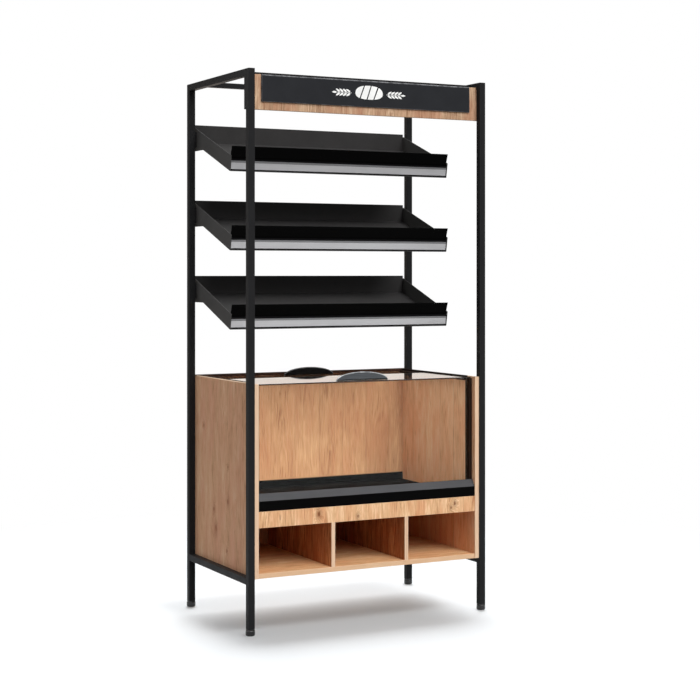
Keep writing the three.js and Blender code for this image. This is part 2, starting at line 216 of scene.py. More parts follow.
def rounded(corners: Sequence[Sequence[float]], radii: float | Sequence[float],
            steps: int = 4, guard: float = 1.2) -> Outline:
    """Rounds each corner of a polygon by an arc that touches its two sides.

    With unit sides a into the corner and b out of it, turning by t, the arc starts r.tan(t/2)
    before the corner and its points are start + r.sin(s).a + r.(1 - cos(s)).n for s from 0 to t,
    where n is square to a, on the turning side. A guard point lies on each side next to the arc,
    so that flats stay flat when shaded smoothly.

    Args:
        corners: The polygon's corners in order.
        radii: One radius, or one for each corner.
        steps: Steps in each arc.
        guard: Distance of the guard points from the arc.

    Returns:
        The rounded outline.
    """
    place = np.array(corners, dtype=float)
    radius = np.broadcast_to(np.array(radii, dtype=float), (len(place),))
    reach_in = place - np.roll(place, 1, axis=0)
    length_in = np.linalg.norm(reach_in, axis=1)
    into = reach_in / length_in[:, None]
    out = np.roll(into, -1, axis=0)
    length_out = np.roll(length_in, -1)
    cross = into[:, 0] * out[:, 1] - into[:, 1] * out[:, 0]
    turn = np.arctan2(cross, np.sum(into * out, axis=1))
    tangent = radius * np.tan(np.abs(turn) / 2.0)
    normal = np.sign(turn)[:, None] * np.stack([-into[:, 1], into[:, 0]], axis=1)

    swing = np.linspace(0.0, 1.0, steps + 1)[None, :] * np.abs(turn)[:, None]
    start = place - into * tangent[:, None]
    arc = start[:, None, :] + radius[:, None, None] * (
        np.sin(swing)[..., None] * into[:, None, :]
        + (1.0 - np.cos(swing))[..., None] * normal[:, None, :])

    room_in = length_in - tangent - np.roll(tangent, 1)
    room_out = length_out - tangent - np.roll(tangent, -1)
    guard_in = np.minimum(guard, 0.4 * room_in)
    guard_out = np.minimum(guard, 0.4 * room_out)
    before = place - into * (tangent + guard_in)[:, None]
    after = place + out * (tangent + guard_out)[:, None]
    points = np.concatenate([before[:, None], arc, after[:, None]], axis=1)
    edge = np.ones(points.shape[:2])
    edge[:, [0, -1]] = 0.0
    return Outline(points.reshape(-1, 2), edge.reshape(-1))


def rectangle(low: Sequence[float], high: Sequence[float], radius: float) -> Outline:
    """A rectangle with rounded corners.

    Args:
        low: Lowest corner.
        high: Highest corner.
        radius: Radius of the corners.

    Returns:
        The rounded outline.
    """
    (u0, v0), (u1, v1) = low, high
    return rounded([(u0, v0), (u1, v0), (u1, v1), (u0, v1)], radius)


def grid_faces(rings: int, around: int) -> list[list[int]]:
    """Quads between neighbouring rings of a grid that is closed around.

    Args:
        rings: Number of rings.
        around: Points in each ring.

    Returns:
        One list of four point numbers per quad.
    """
    ring, point = np.meshgrid(np.arange(rings - 1), np.arange(around), indexing="ij")
    beside = (point + 1) % around
    low = ring * around
    high = low + around
    quads = np.stack([low + point, low + beside, high + beside, high + point], axis=-1)
    return quads.reshape(-1, 4).tolist()


def closed_rings(grid: Array, edge: Array, flip: bool = False) -> Surface:
    """A surface over rings of points, with a flat face at each end.

    Args:
        grid: Places, as rings by points by 3.
        edge: Edge marks, as rings by points.
        flip: True if the rings run clockwise round their direction of travel.

    Returns:
        The closed surface.
    """
    rings, around = grid.shape[:2]
    sides = grid_faces(rings, around)
    first = np.arange(around)[::-1]
    last = np.arange(around) + (rings - 1) * around
    faces = sides + [first.tolist(), last.tolist()]
    if flip:
        faces = [face[::-1] for face in faces]
    flat = np.zeros(len(faces), dtype=bool)
    flat[-2:] = True
    return Surface(grid.reshape(-1, 3), faces, flat, edge.reshape(-1))


def carried(outline: Outline, axis: Axis, start: float, end: float,
            edge: float = 0.6, steps: int = 3) -> Surface:
    """Carries an outline along an axis, with rounded rims at both ends.

    On the rim, for an angle a from 0 to a right angle, the outline is drawn in by
    edge.(1 - sin(a)) and lies edge.(1 - cos(a)) inside the end. A ring half an edge further in
    keeps the rim's mark off the end face.

    Args:
        outline: YZ points for axis X, XZ points for axis Y, XY points for axis Z.
        axis: Direction of travel.
        start: Lower end on the axis.
        end: Upper end on the axis.
        edge: Radius of the rims.
        steps: Steps in each rim.

    Returns:
        The closed surface.
    """
    angle = np.linspace(0.0, np.pi / 2.0, steps + 1)
    inset = edge * (1.0 - np.sin(angle))
    lift = edge * (1.0 - np.cos(angle))
    guard = min(3.0 * edge, 0.4 * (end - start))
    middle = [start + guard, end - guard]
    stations = np.concatenate([[start], start + lift, middle, end - lift[::-1], [end]])
    insets = np.concatenate([[1.5 * edge], inset, [0.0, 0.0], inset[::-1], [1.5 * edge]])
    rim = np.ones(len(stations))
    rim[[0, steps + 2, steps + 3, -1]] = 0.0

    flat = outline.points[None] - insets[:, None, None] * outline.miter()[None]
    along = np.broadcast_to(stations[:, None], flat.shape[:2])
    u, v = flat[..., 0], flat[..., 1]
    places = {Axis.X: (along, u, v), Axis.Y: (u, along, v), Axis.Z: (u, v, along)}
    grid = np.stack(places[axis], axis=-1)
    marks = np.maximum(outline.edge[None, :], rim[:, None])
    marks[[0, -1]] = 0.0
    return closed_rings(grid, marks, flip=axis is Axis.Y)


def turned(profile: Array, edge: Array, centre: Sequence[float], around: int = 96,
           flutes: int = 0, flute_depth: Array | float = 0.0) -> Surface:
    """Turns a profile round an upright axis, with shallow flutes where the depth isn't 0.

    A point at angle a is (r.cos(a), r.sin(a), z) with r = radius - depth.(1 + cos(flutes.a)) / 2.

    Args:
        profile: Radius and height, one row per ring, from the foot up.
        edge: Edge marks, one per ring.
        centre: X and Y of the axis.
        around: Points in each ring.
        flutes: Number of flutes.
        flute_depth: Depth of the flutes, one number or one per ring.

    Returns:
        The closed surface.
    """
    angle = np.linspace(0.0, 2.0 * np.pi, around, endpoint=False)
    depth = np.broadcast_to(np.array(flute_depth, dtype=float), (len(profile),))
    wave = (1.0 + np.cos(flutes * angle)) / 2.0
    radius = profile[:, :1] - depth[:, None] * wave[None, :]
    height = np.broadcast_to(profile[:, 1:], radius.shape)
    x = centre[0] + radius * np.cos(angle)
    y = centre[1] + radius * np.sin(angle)
    marks = np.broadcast_to(edge[:, None], radius.shape)
    return closed_rings(np.stack([x, y, height], axis=-1), marks)


class Graph:
    """A short way to lay out the nodes of one material."""

    def __init__(self, name: str) -> None:
        """Starts a material with one surface shader.

        Args:
            name: The material's name.
        """
        self.material = bpy.data.materials.new(name)
        self.material.use_nodes = True
        self.tree = self.material.node_tree
        self.tree.nodes.clear()
        self.shader = self.node("ShaderNodeBsdfPrincipled")
        output = self.node("ShaderNodeOutputMaterial")
        self.tree.links.new(self.shader.outputs[0], output.inputs["Surface"])

    def node(self, kind: str, **settings: object) -> bpy.types.Node:
        """Adds a node.

        Args:
            kind: The node's type.
            settings: Properties to set on it.

        Returns:
            The new node.
        """
        made = self.tree.nodes.new(kind)
        for key, value in settings.items():
            setattr(made, key, value)
        return made

    def put(self, target: Socket, value: Value | Colour) -> None:
        """Links a socket to an input, or sets a constant on it.

        Args:
            target: The input socket.
            value: A socket, a number or a colour.
        """
        if isinstance(value, bpy.types.NodeSocket):
            self.tree.links.new(value, target)
        elif isinstance(value, tuple) and len(target.default_value) == 4:
            target.default_value = (*value, 1.0)
        else:
            target.default_value = value

    def shade(self, **inputs: Value | Colour) -> None:
        """Sets inputs of the surface shader.

        Args:
            inputs: Values by input name, with underscores for spaces.
        """
        for name, value in inputs.items():
            self.put(self.shader.inputs[name.replace("_", " ")], value)

    def math(self, operation: str, first: Value, second: Value = 0.0, third: Value = 0.0) -> Socket:
        """One sum on numbers.

        Args:
            operation: Blender's name of the sum.
            first: First number.
            second: Second number.
            third: Third number.

        Returns:
            The result.
        """
        made = self.node("ShaderNodeMath", operation=operation)
        for target, value in zip(made.inputs, (first, second, third)):
            self.put(target, value)
        return made.outputs[0]

    def object_place(self) -> tuple[Socket, Socket, Socket]:
        """The place on the piece in its own metres.

        Returns:
            X, Y and Z.
        """
        place = self.node("ShaderNodeTexCoord").outputs["Object"]
        parts = self.node("ShaderNodeSeparateXYZ")
        self.put(parts.inputs[0], place)
        return parts.outputs[0], parts.outputs[1], parts.outputs[2]

    def mark(self, name: str) -> Socket:
        """A number that is stored on the piece's points."""
        return self.node("ShaderNodeAttribute", attribute_name=name).outputs["Fac"]

    def vector(self, x: Value, y: Value, z: Value = 0.0) -> Socket:
        """Three numbers as one vector.

        Args:
            x: First number.
            y: Second number.
            z: Third number.

        Returns:
            The vector.
        """
        made = self.node("ShaderNodeCombineXYZ")
        for target, value in zip(made.inputs, (x, y, z)):
            self.put(target, value)
        return made.outputs[0]

    def noise(self, place: Socket, scale: float, detail: float = 2.0, rough: float = 0.5) -> Socket:
        """Soft noise from about 0 to 1.

        Args:
            place: Where to read it.
            scale: Cells per unit of place.
            detail: Octaves.
            rough: Strength of the finer octaves.

        Returns:
            The noise.
        """
        made = self.node("ShaderNodeTexNoise")
        self.put(made.inputs["Vector"], place)
        made.inputs["Scale"].default_value = scale
        made.inputs["Detail"].default_value = detail
        made.inputs["Roughness"].default_value = rough
        return made.outputs["Fac"]

    def ramp(self, value: Value, low: float, high: float,
             to_low: float = 0.0, to_high: float = 1.0) -> Socket:
        """Eases a number from one range into another.

        Args:
            value: The number.
            low: Start of its range.
            high: End of its range.
            to_low: Result at the start.
            to_high: Result at the end.

        Returns:
            The eased number.
        """
        made = self.node("ShaderNodeMapRange", interpolation_type="SMOOTHSTEP")
        for target, number in zip(made.inputs, (value, low, high, to_low, to_high)):
            self.put(target, number)
        return made.outputs[0]

    def blend(self, factor: Value, first: Socket | Colour, second: Socket | Colour) -> Socket:
        """Mixes two colours.

        Args:
            factor: 0 for the first, 1 for the second.
            first: First colour.
            second: Second colour.

        Returns:
            The mixed colour.
        """
        made = self.node("ShaderNodeMix", data_type="RGBA")
        self.put(made.inputs[0], factor)
        self.put(made.inputs[6], first)
        self.put(made.inputs[7], second)
        return made.outputs[2]

    def bump(self, height: Socket, distance: float, strength: float = 1.0) -> Socket:
        """Small relief.

        Args:
            height: Height from 0 to 1.
            distance: Metres that a height of 1 stands for.
            strength: Share of the relief that shows.

        Returns:
            The tilted normal.
        """
        made = self.node("ShaderNodeBump")
        made.inputs["Strength"].default_value = strength
        made.inputs["Distance"].default_value = distance
        self.put(made.inputs["Height"], height)
        return made.outputs[0]


@dataclass(frozen=True)
class Finish:
    """What a surface is made of or coated with.

    Attributes:
        name: The material's name.
        slot: The record's slot that it belongs to.
    """

    name: str
    slot: str

    def material(self) -> bpy.types.Material:
        """The finish as a material, made once."""
        found = bpy.data.materials.get(self.name)
        return found or self.lay_out(Graph(self.name))

    def lay_out(self, graph: Graph) -> bpy.types.Material:
        """Lays out the nodes.

        Args:
            graph: An empty graph.

        Returns:
            The finished material.
        """
        raise NotImplementedError


@dataclass(frozen=True)
class Coat(Finish):
    """Paint, powder coat or moulded plastic with a fine skin, and edges in a second colour: rubbed wear
    on most finishes, a painted highlight on the sign and the handles.

    Attributes:
        colour: Colour of the flats, 0 to 255.
        rubbed: Colour of the edges, 0 to 255: rubbed wear, and on the sign and handles a painted
            highlight.
        rough: Roughness.
        specular: Specular level.
        skin: Cells of the skin per metre.
        relief: Height of the skin in metres.
        wear: Share of the edge colour on the edges.
        mottle: Share by which the colour varies.
        vary: Amount by which the roughness varies.
        cloud: Cells of the mottle per metre.
        scuff: Cells of the patches in which the edge colour shows, per metre.
    """

    colour: Colour
    rubbed: Colour
    rough: float = 0.45
    specular: float = 0.3
    skin: float = 900.0
    relief: float = 0.00006
    wear: float = 0.5
    mottle: float = 0.09
    vary: float = 0.055
    cloud: float = 14.0
    scuff: float = 55.0

    def lay_out(self, graph: Graph) -> bpy.types.Material:
        """Mottles the colour, lightens the edges with wear and painted highlight, and gives the skin a
        fine relief.

        Args:
            graph: An empty graph.

        Returns:
            The finished material.
        """
        x, y, z = graph.object_place()
        place = graph.vector(x, y, z)
        cloud = graph.noise(place, self.cloud, detail=4.0, rough=0.6)
        grit = graph.noise(place, self.skin, detail=1.0)
        scuff = graph.noise(place, self.scuff, detail=5.0, rough=0.65)
        dark = linear(*((1.0 - self.mottle) * part for part in self.colour))
        light = linear(*((1.0 + self.mottle) * part for part in self.colour))
        base = graph.blend(cloud, dark, light)
        # The edge colour is rubbed wear, and on the sign and the handles a painted highlight along the
        # rounded rims.
        rim = graph.ramp(graph.mark("edge"), 0.55, 1.0)
        wear_and_highlight = graph.math("MULTIPLY", rim, graph.ramp(scuff, 0.35, 0.65, 0.25, 1.0))
        wear_and_highlight = graph.math("MULTIPLY", wear_and_highlight, self.wear)
        graph.shade(
            Base_Color=graph.blend(wear_and_highlight, base, linear(*self.rubbed)),
            Roughness=graph.ramp(cloud, 0.25, 0.75, self.rough - self.vary, self.rough + self.vary),
            Specular_IOR_Level=self.specular,
            Normal=graph.bump(grit, self.relief, 0.5),
        )
        return graph.material


@dataclass(frozen=True)
class Brushed(Finish):
    """Grey strip with fine lines along X.

    Attributes:
        colour: Colour of the strip, 0 to 255.
        rough: Roughness.
        specular: Specular level.
        lines: Contrast of the lines.
        fine: Lines per metre.
        draw: Cells along a line for each cell across it.
        cloud: Cells of the soft mottle per metre.
        share: Share of the lines in the tone, beside the mottle.
        vary: Amount by which the roughness varies.
        relief: Height of the lines in metres.
        glint: Brightness of the edges, as a share of the colour.
    """

    colour: Colour
    rough: float = 0.4
    specular: float = 0.3
    lines: float = 0.06
    fine: float = 420.0
    draw: float = 0.012
    cloud: float = 9.0
    share: float = 0.65
    vary: float = 0.06
    relief: float = 0.00004
    glint: float = 1.25

    def lay_out(self, graph: Graph) -> bpy.types.Material:
        """Draws lines along X in the colour, roughness and relief.

        Args:
            graph: An empty graph.

        Returns:
            The finished material.
        """
        x, y, z = graph.object_place()
        strip = graph.vector(graph.math("MULTIPLY", x, self.draw), y, z)
        line = graph.noise(strip, self.fine, detail=4.0, rough=0.7)
        cloud = graph.noise(graph.vector(x, y, z), self.cloud, detail=3.0)
        tone = graph.math("MULTIPLY", line, self.share)
        tone = graph.math("MULTIPLY_ADD", cloud, 1.0 - self.share, tone)
        dark = linear(*((1.0 - self.lines) * part for part in self.colour))
        light = linear(*(min(255.0, (1.0 + self.lines) * part) for part in self.colour))
        base = graph.blend(graph.ramp(tone, *NOISE_BODY), dark, light)
        rim = graph.ramp(graph.mark("edge"), 0.5, 1.0, 0.0, 0.3)
        pale = linear(*(min(255.0, self.glint * part) for part in self.colour))
        graph.shade(
            Base_Color=graph.blend(rim, base, pale),
            Roughness=graph.ramp(line, *NOISE_BODY, self.rough - self.vary, self.rough + self.vary),
            Specular_IOR_Level=self.specular,
            Normal=graph.bump(line, self.relief, 0.4),
        )
        return graph.material


class Layer(Enum):
    """Noise in the wood: cells per metre across and along the fibres, octaves and their strength."""

    WANDER = (12.0, 4.0, 3.0, 0.5)
    MOTTLE = (22.0, 4.0, 4.0, 0.6)
    STREAK = (130.0, 13.0, 4.0, 0.65)
    FIBRE = (420.0, 16.0, 3.0, 0.6)
    PORE = (1500.0, 42.0, 1.0, 0.5)
    DASH = (120.0, 20.0, 2.0, 0.5)
    BLUSH = (15.0, 4.0, 3.0, 0.5)
    WARP = (90.0, 50.0, 3.0, 0.5)


@dataclass(frozen=True)
class Figure:
    """How rings and fibres run through a plank, and what they add to its tone.

    Attributes:
        shift: Greatest shift of a plank along its fibres, in metres.
        slope: Ring levels per metre along the fibres.
        bow: Ring levels per square metre, from the plank's middle.
        sway: Ring levels that the noise adds.
        shove: Ring levels that a knot adds.
        rings: Rings per level.
        drift: Metres that the noise moves the fibres by.
        part: Metres that a knot moves the fibres by.
        mottle: Weight of the mottle in the tone.
        streak: Weight of the streaks.
        fibre: Weight of the fibres.
        ring: Weight of the rings.
        board: Weight of the plank's own tone.
        middle: Tone at which the wood has its main colour.
        below: How far below the middle the wood is palest, at a contrast of 1.
        above: How far above the middle it is darkest, at a contrast of 1.
        knot_length: Length of a knot for each unit of its width.
        knot_warp: Share of the noise in a knot's outline.
    """

    shift: float = 2.7
    slope: float = 3.4
    bow: float = 1500.0
    sway: float = 3.2
    shove: float = 2.6
    rings: float = 1.7
    drift: float = 0.014
    part: float = 0.02
    mottle: float = 0.26
    streak: float = 0.3
    fibre: float = 0.22
    ring: float = 0.18
    board: float = 0.1
    middle: float = 0.53
    below: float = 0.3
    above: float = 0.44
    knot_length: float = 1.7
    knot_warp: float = 0.8


@dataclass(frozen=True)
class Oak(Finish):
    """Knotty oak board, made up of planks.

    Attributes:
        grain: The way the fibres run.
        light: Pale wood between the rings, 0 to 255.
        mid: Main colour.
        dark: Late wood and streaks.
        knot: Heart of a knot.
        blush: Redder wood in patches.
        plank: Width of a plank in metres.
        contrast: Strength of the figure.
        knots: Knots as place across, place along and radius, in metres.
        figure: How rings and fibres run.
    """

    grain: Grain
    light: Colour = (242, 206, 168)
    mid: Colour = (228, 182, 143)
    dark: Colour = (186, 132, 96)
    knot: Colour = (112, 62, 38)
    blush: Colour = (222, 160, 122)
    plank: float = 0.108
    contrast: float = 1.0
    knots: tuple[Place, ...] = ()
    figure: Figure = Figure()

    def lay_out(self, graph: Graph) -> bpy.types.Material:
        """Lays rings, streaks, pores, seams and knots over one another.

        Args:
            graph: An empty graph.

        Returns:
            The finished material.
        """
        figure = self.figure
        x, y, z = graph.object_place()
        if self.grain is Grain.UPRIGHT:
            along, across = z, graph.math("ADD", x, y)
        else:
            along, across = x, graph.math("ADD", y, z)
        push, heart = self.knot_marks(graph, across, along)
        across = graph.math("ADD", across, graph.mark("board"))

        place = graph.math("DIVIDE", across, self.plank)
        part = graph.math("FRACT", place)
        chance = self.chance(graph, graph.math("FLOOR", place))
        along = graph.math("MULTIPLY_ADD", chance, figure.shift, along)
        wander = self.layer(graph, Layer.WANDER, across, along)
        ring = self.ring(graph, part, along, wander, push)

        bent = graph.math("MULTIPLY_ADD", wander, figure.drift, across)
        bent = graph.math("MULTIPLY_ADD", push, figure.part, bent)
        mottle = self.layer(graph, Layer.MOTTLE, bent, along)
        streak = self.layer(graph, Layer.STREAK, bent, along)
        fibre = self.layer(graph, Layer.FIBRE, bent, along)
        pore = self.layer(graph, Layer.PORE, bent, along)
        dash = self.layer(graph, Layer.DASH, bent, along)
        blush = self.layer(graph, Layer.BLUSH, across, along)

        tone = graph.math("MULTIPLY", graph.ramp(mottle, *NOISE_BODY), figure.mottle)
        tone = graph.math("MULTIPLY_ADD", graph.ramp(streak, *NOISE_BODY), figure.streak, tone)
        tone = graph.math("MULTIPLY_ADD", graph.ramp(fibre, *NOISE_BODY), figure.fibre, tone)
        tone = graph.math("MULTIPLY_ADD", ring, figure.ring, tone)
        tone = graph.math("MULTIPLY_ADD", chance, figure.board, tone)
        pale = graph.ramp(tone, figure.middle - figure.below / self.contrast, figure.middle)
        rich = graph.ramp(tone, figure.middle, figure.middle + figure.above / self.contrast)
        base = graph.blend(pale, linear(*self.light), linear(*self.mid))
        base = graph.blend(rich, base, linear(*self.dark))
        red = graph.ramp(blush, 0.4, 0.7, 0.0, min(0.65, 0.55 * self.contrast))
        base = graph.blend(red, base, linear(*self.blush))

        pits = graph.ramp(pore, 0.62, 0.74)
        base = graph.blend(graph.math("MULTIPLY", pits, 0.3), base, linear(*self.dark))
        dashes = graph.ramp(dash, 0.66, 0.78, 0.0, min(0.6, 0.5 * self.contrast))
        base = graph.blend(dashes, base, linear(*self.knot))
        base = graph.blend(heart, base, linear(*self.knot))
        rim = graph.math("MINIMUM", part, graph.math("SUBTRACT", 1.0, part))
        seam = graph.ramp(rim, 0.004, 0.012, 1.0, 0.0)
        seam = graph.math("MULTIPLY", seam, graph.ramp(chance, 0.3, 0.9, 0.05, 0.55))
        base = graph.blend(seam, base, linear(*self.knot))
        worn = graph.ramp(graph.mark("edge"), 0.6, 1.0, 0.0, 0.35)
        base = graph.blend(worn, base, linear(*self.light))

        height = graph.math("MULTIPLY_ADD", fibre, 0.5, graph.math("MULTIPLY", pits, -0.6))
        height = graph.math("SUBTRACT", height, seam)
        graph.shade(
            Base_Color=base,
            Roughness=graph.ramp(tone, 0.2, 1.0, 0.5, 0.62),
            Specular_IOR_Level=0.1,
            Normal=graph.bump(height, 0.0002, 0.35),
        )
        return graph.material

    def ring(self, graph: Graph, part: Socket, along: Socket, wander: Socket, push: Value) -> Socket:
        """Growth rings, dark at their outer side.

        The rings are the level lines of slope.along + bow.centre^2 + sway.wander + shove.push,
        which are nested arches. Each ring darkens slowly and ends sharply.

        Args:
            graph: The graph.
            part: Place across the plank, 0 to 1.
            along: Metres along the fibres.
            wander: Noise that sways the rings.
            push: How far knots push the rings aside.

        Returns:
            The darkness, 0 to 1.
        """
        figure = self.figure
        centre = graph.math("MULTIPLY", graph.math("SUBTRACT", part, 0.5), self.plank)
        bow = graph.math("MULTIPLY", graph.math("POWER", centre, 2.0), figure.bow)
        level = graph.math("MULTIPLY_ADD", along, figure.slope, bow)
        level = graph.math("MULTIPLY_ADD", wander, figure.sway, level)
        level = graph.math("MULTIPLY_ADD", push, figure.shove, level)
        wave = graph.math("FRACT", graph.math("MULTIPLY", level, figure.rings))
        return graph.math("MULTIPLY", graph.ramp(wave, 0.0, 0.72), graph.ramp(wave, 1.0, 0.82))

    @staticmethod
    def layer(graph: Graph, layer: Layer, across: Socket, along: Socket) -> Socket:
        """Noise that is drawn out along the fibres.

        Args:
            graph: The graph.
            layer: Which noise.
            across: Metres across the fibres.
            along: Metres along the fibres.

        Returns:
            The noise.
        """
        fine, long, detail, rough = layer.value
        place = graph.vector(graph.math("MULTIPLY", across, fine), graph.math("MULTIPLY", along, long))
        return graph.noise(place, 1.0, detail, rough)

    @staticmethod
    def chance(graph: Graph, number: Socket) -> Socket:
        """A fixed chance value for each plank.

        Args:
            graph: The graph.
            number: The plank's number.

        Returns:
            The value, 0 to 1.
        """
        made = graph.node("ShaderNodeTexWhiteNoise", noise_dimensions="1D")
        graph.put(made.inputs["W"], number)
        return made.outputs["Value"]

    def knot_marks(self, graph: Graph, across: Socket, along: Socket) -> tuple[Value, Value]:
        """Sums up how far each knot pushes the rings and darkens the wood.

        For a knot of radius r and length l.r at (p, q), d is |((across - p) / r, (along - q) / l.r)|
        plus a little noise. The push fades from 1 at d = 0.3 to 0 at d = 4. The wood is darkest
        inside d = 0.6, and a fainter halo round that ends at d = 3.2.

        Args:
            graph: The graph.
            across: Metres across the fibres.
            along: Metres along the fibres.

        Returns:
            The push and the darkness.
        """
        push: Value = 0.0
        heart: Value = 0.0
        if not self.knots:
            return push, heart
        figure = self.figure
        warp = self.layer(graph, Layer.WARP, across, along)
        for knot_across, knot_along, radius in self.knots:
            length = figure.knot_length * radius
            u = graph.math("DIVIDE", graph.math("SUBTRACT", across, knot_across), radius)
            v = graph.math("DIVIDE", graph.math("SUBTRACT", along, knot_along), length)
            span = graph.math("ADD", graph.math("POWER", u, 2.0), graph.math("POWER", v, 2.0))
            span = graph.math("MULTIPLY_ADD", warp, figure.knot_warp, graph.math("SQRT", span))
            push = graph.math("ADD", push, graph.ramp(span, 0.3, 4.0, 1.0, 0.0))
            core = graph.ramp(span, 0.6, 1.7, 0.9, 0.0)
            halo = graph.ramp(span, 0.9, 3.2, 0.36, 0.0)
            heart = graph.math("MAXIMUM", heart, graph.math("MAXIMUM", core, halo))
        return push, heart


@dataclass(frozen=True)
class Clear(Finish):
    """Clear sheet with polished edges and faint smears.

    Attributes:
        tint: Colour of the sheet, 0 to 255.
        shadow: Share of the light that the sheet holds back from what lies behind it.
        bend: Index of refraction, lower on a sheet with a coat against glare.
        rim: Colour seen through the sheet's narrow faces, 0 to 255.
        smear: Cells of the smears per metre.
        haze: Roughness in the smears.
    """

    tint: Colour = (244, 250, 248)
    shadow: float = 0.08
    bend: float = 1.49
    rim: Colour = (96, 68, 48)
    smear: float = 7.0
    haze: float = 0.035

    def lay_out(self, graph: Graph) -> bpy.types.Material:
        """Lets light through, with smears in the roughness.

        Args:
            graph: An empty graph.

        Returns:
            The finished material.
        """
        x, y, z = graph.object_place()
        smear = graph.noise(graph.vector(x, y, z), self.smear, detail=5.0, rough=0.6)
        lit = graph.node("ShaderNodeLightPath").outputs["Is Shadow Ray"]
        narrow = graph.ramp(graph.mark("edge"), 0.5, 1.0)
        graph.shade(
            Base_Color=graph.blend(narrow, linear(*self.tint), linear(*self.rim)),
            Roughness=graph.ramp(smear, 0.4, 0.75, 0.0, self.haze),
            IOR=self.bend,
            Transmission_Weight=1.0,
            Alpha=graph.math("MULTIPLY_ADD", lit, self.shadow - 1.0, 1.0),
        )
        return graph.material


FRAME_BLACK = Coat("frame_powder_coat", "frame_black", (33, 33, 34), (48, 48, 49),
                   rough=0.42, specular=0.05)
PLATE_BLACK = Coat("plate_powder_coat", "tray_black", (78, 77, 76), (96, 96, 96),
                   rough=0.5, specular=0.06)
TRAY_BLACK = Coat("tray_powder_coat", "tray_black", (56, 55, 55), (70, 69, 69),
                  rough=0.45, specular=0.06)
LIP_BLACK = Coat("lip_deep_black", "tray_black", (6, 6, 6), (30, 30, 30),
                 rough=0.5, specular=0.015, wear=0.25)
FOOT_BLACK = Coat("foot_plastic", "foot_black", (20, 20, 20), (40, 40, 40),
                  rough=0.25, specular=0.5, skin=1600.0, relief=0.00004)
# The dark brown of the rear strips is painted shade: they darken the back panel's face above the lids.
SHADE_BROWN = Coat("stop_brown", "track_black", (66, 43, 34), (84, 60, 48),
                  rough=0.42, specular=0.06, skin=1800.0, relief=0.00003)
TRACK_BLACK = Coat("track_plastic", "track_black", (38, 25, 19), (60, 46, 38),
                   rough=0.42, specular=0.06, skin=1800.0, relief=0.00003)
# Both handles are the same gloss black part: their pale rim colour is a painted highlight, and the front
# handle's slate grey is a painted reflection.
HANDLE_BLACK = Coat("handle_gloss", "handle_black", (13, 12, 12), (150, 150, 150),
                    rough=0.12, specular=0.08, skin=2400.0, relief=0.000001,
                    wear=0.8, mottle=0.03, vary=0.01)
HANDLE_PAINTED_SHEEN = Coat("handle_slate", "handle_black", (62, 65, 69), (196, 198, 200),
                    rough=0.14, specular=0.4, skin=2400.0, relief=0.000001,
                    wear=0.9, mottle=0.03, vary=0.01)
# The sign's pale upper edge is a painted highlight along its rounded rim.
SIGN_BLACK = Coat("sign_satin", "sign_black", (37, 38, 41), (128, 129, 132),
                  rough=0.34, specular=0.08, skin=2200.0, relief=0.00002, wear=0.85)
PICTOGRAM_WHITE = Coat("pictogram_white", "sign_black", (240, 240, 238), (248, 248, 246),
                       rough=0.45, specular=0.2, wear=0.2)
RAIL_DARK = Brushed("rail_dark", "rail_grey", (9, 9, 10), rough=0.45, specular=0.03)
# The mid-grey strip above the price card is a painted shadow cast by the rail's upper hook.
CARD_PAINTED_SHADOW = Brushed("backing_grey", "rail_grey", (124, 124, 126),
                       rough=0.45, specular=0.15, lines=0.05)
CARD_GREY = Brushed("card_grey", "rail_grey", (188, 188, 190),
                    rough=0.5, specular=0.15, lines=0.03)
# The grey on the bin's sloping lip is painted sheen: the lip is the same black sheet, lighter where it
# faces up.
LIP_PAINTED_SHEEN = Brushed("lip_cover_grey", "tray_black", (66, 66, 68),
                     rough=0.45, specular=0.13, lines=0.08)
CLEAR_SHEET = Clear("clear_sheet", "clear_panel")
CLEAR_FRONT = Clear("clear_front", "clear_panel", bend=1.2)
PANEL_KNOTS = (
    (-0.390, 0.407, 0.008),
    (-0.410, 0.337, 0.011),
    (-0.526, 0.451, 0.009),
    (-0.517, 0.266, 0.006),
    (-0.289, 0.718, 0.006),
    (-0.526, 0.581, 0.005),
    (0.330, 0.640, 0.011),
    (0.560, 0.330, 0.009),
)
FRONT_KNOTS = (
    (-0.505, 0.4195, 0.008),
    (-0.343, 0.401, 0.005),
    (0.077, 0.421, 0.007),
    (0.060, 0.405, 0.005),
)
OAK_UPRIGHT = Oak("oak_upright", "oak_board", Grain.UPRIGHT,
                  light=(242, 205, 168), mid=(229, 178, 139), dark=(172, 112, 80),
                  knot=(164, 94, 62), blush=(226, 160, 130), contrast=0.9, knots=PANEL_KNOTS)
# The right panel's oak is a lighter, warmer copy of the left panel's: painted light on its inner face
# inside the bin.
OAK_RIGHT_LIT = Oak("oak_warm", "oak_board", Grain.UPRIGHT,
               light=(252, 214, 172), mid=(246, 188, 144), dark=(196, 132, 92),
               blush=(240, 162, 120), contrast=0.9)
# The back panel's oak is a darker copy of the side panels' oak: painted shade at the back of the bin and
# the cubbies.
OAK_BACK_SHADED = Oak("oak_back", "oak_board", Grain.UPRIGHT,
               light=(222, 172, 130), mid=(202, 148, 108), dark=(146, 92, 60),
               blush=(196, 130, 94), contrast=0.9)
OAK_FRONT = Oak("oak_front", "oak_board", Grain.UPRIGHT,
                light=(244, 208, 168), mid=(221, 177, 133), dark=(172, 112, 74),
                blush=(216, 152, 110), contrast=1.1, knots=FRONT_KNOTS)
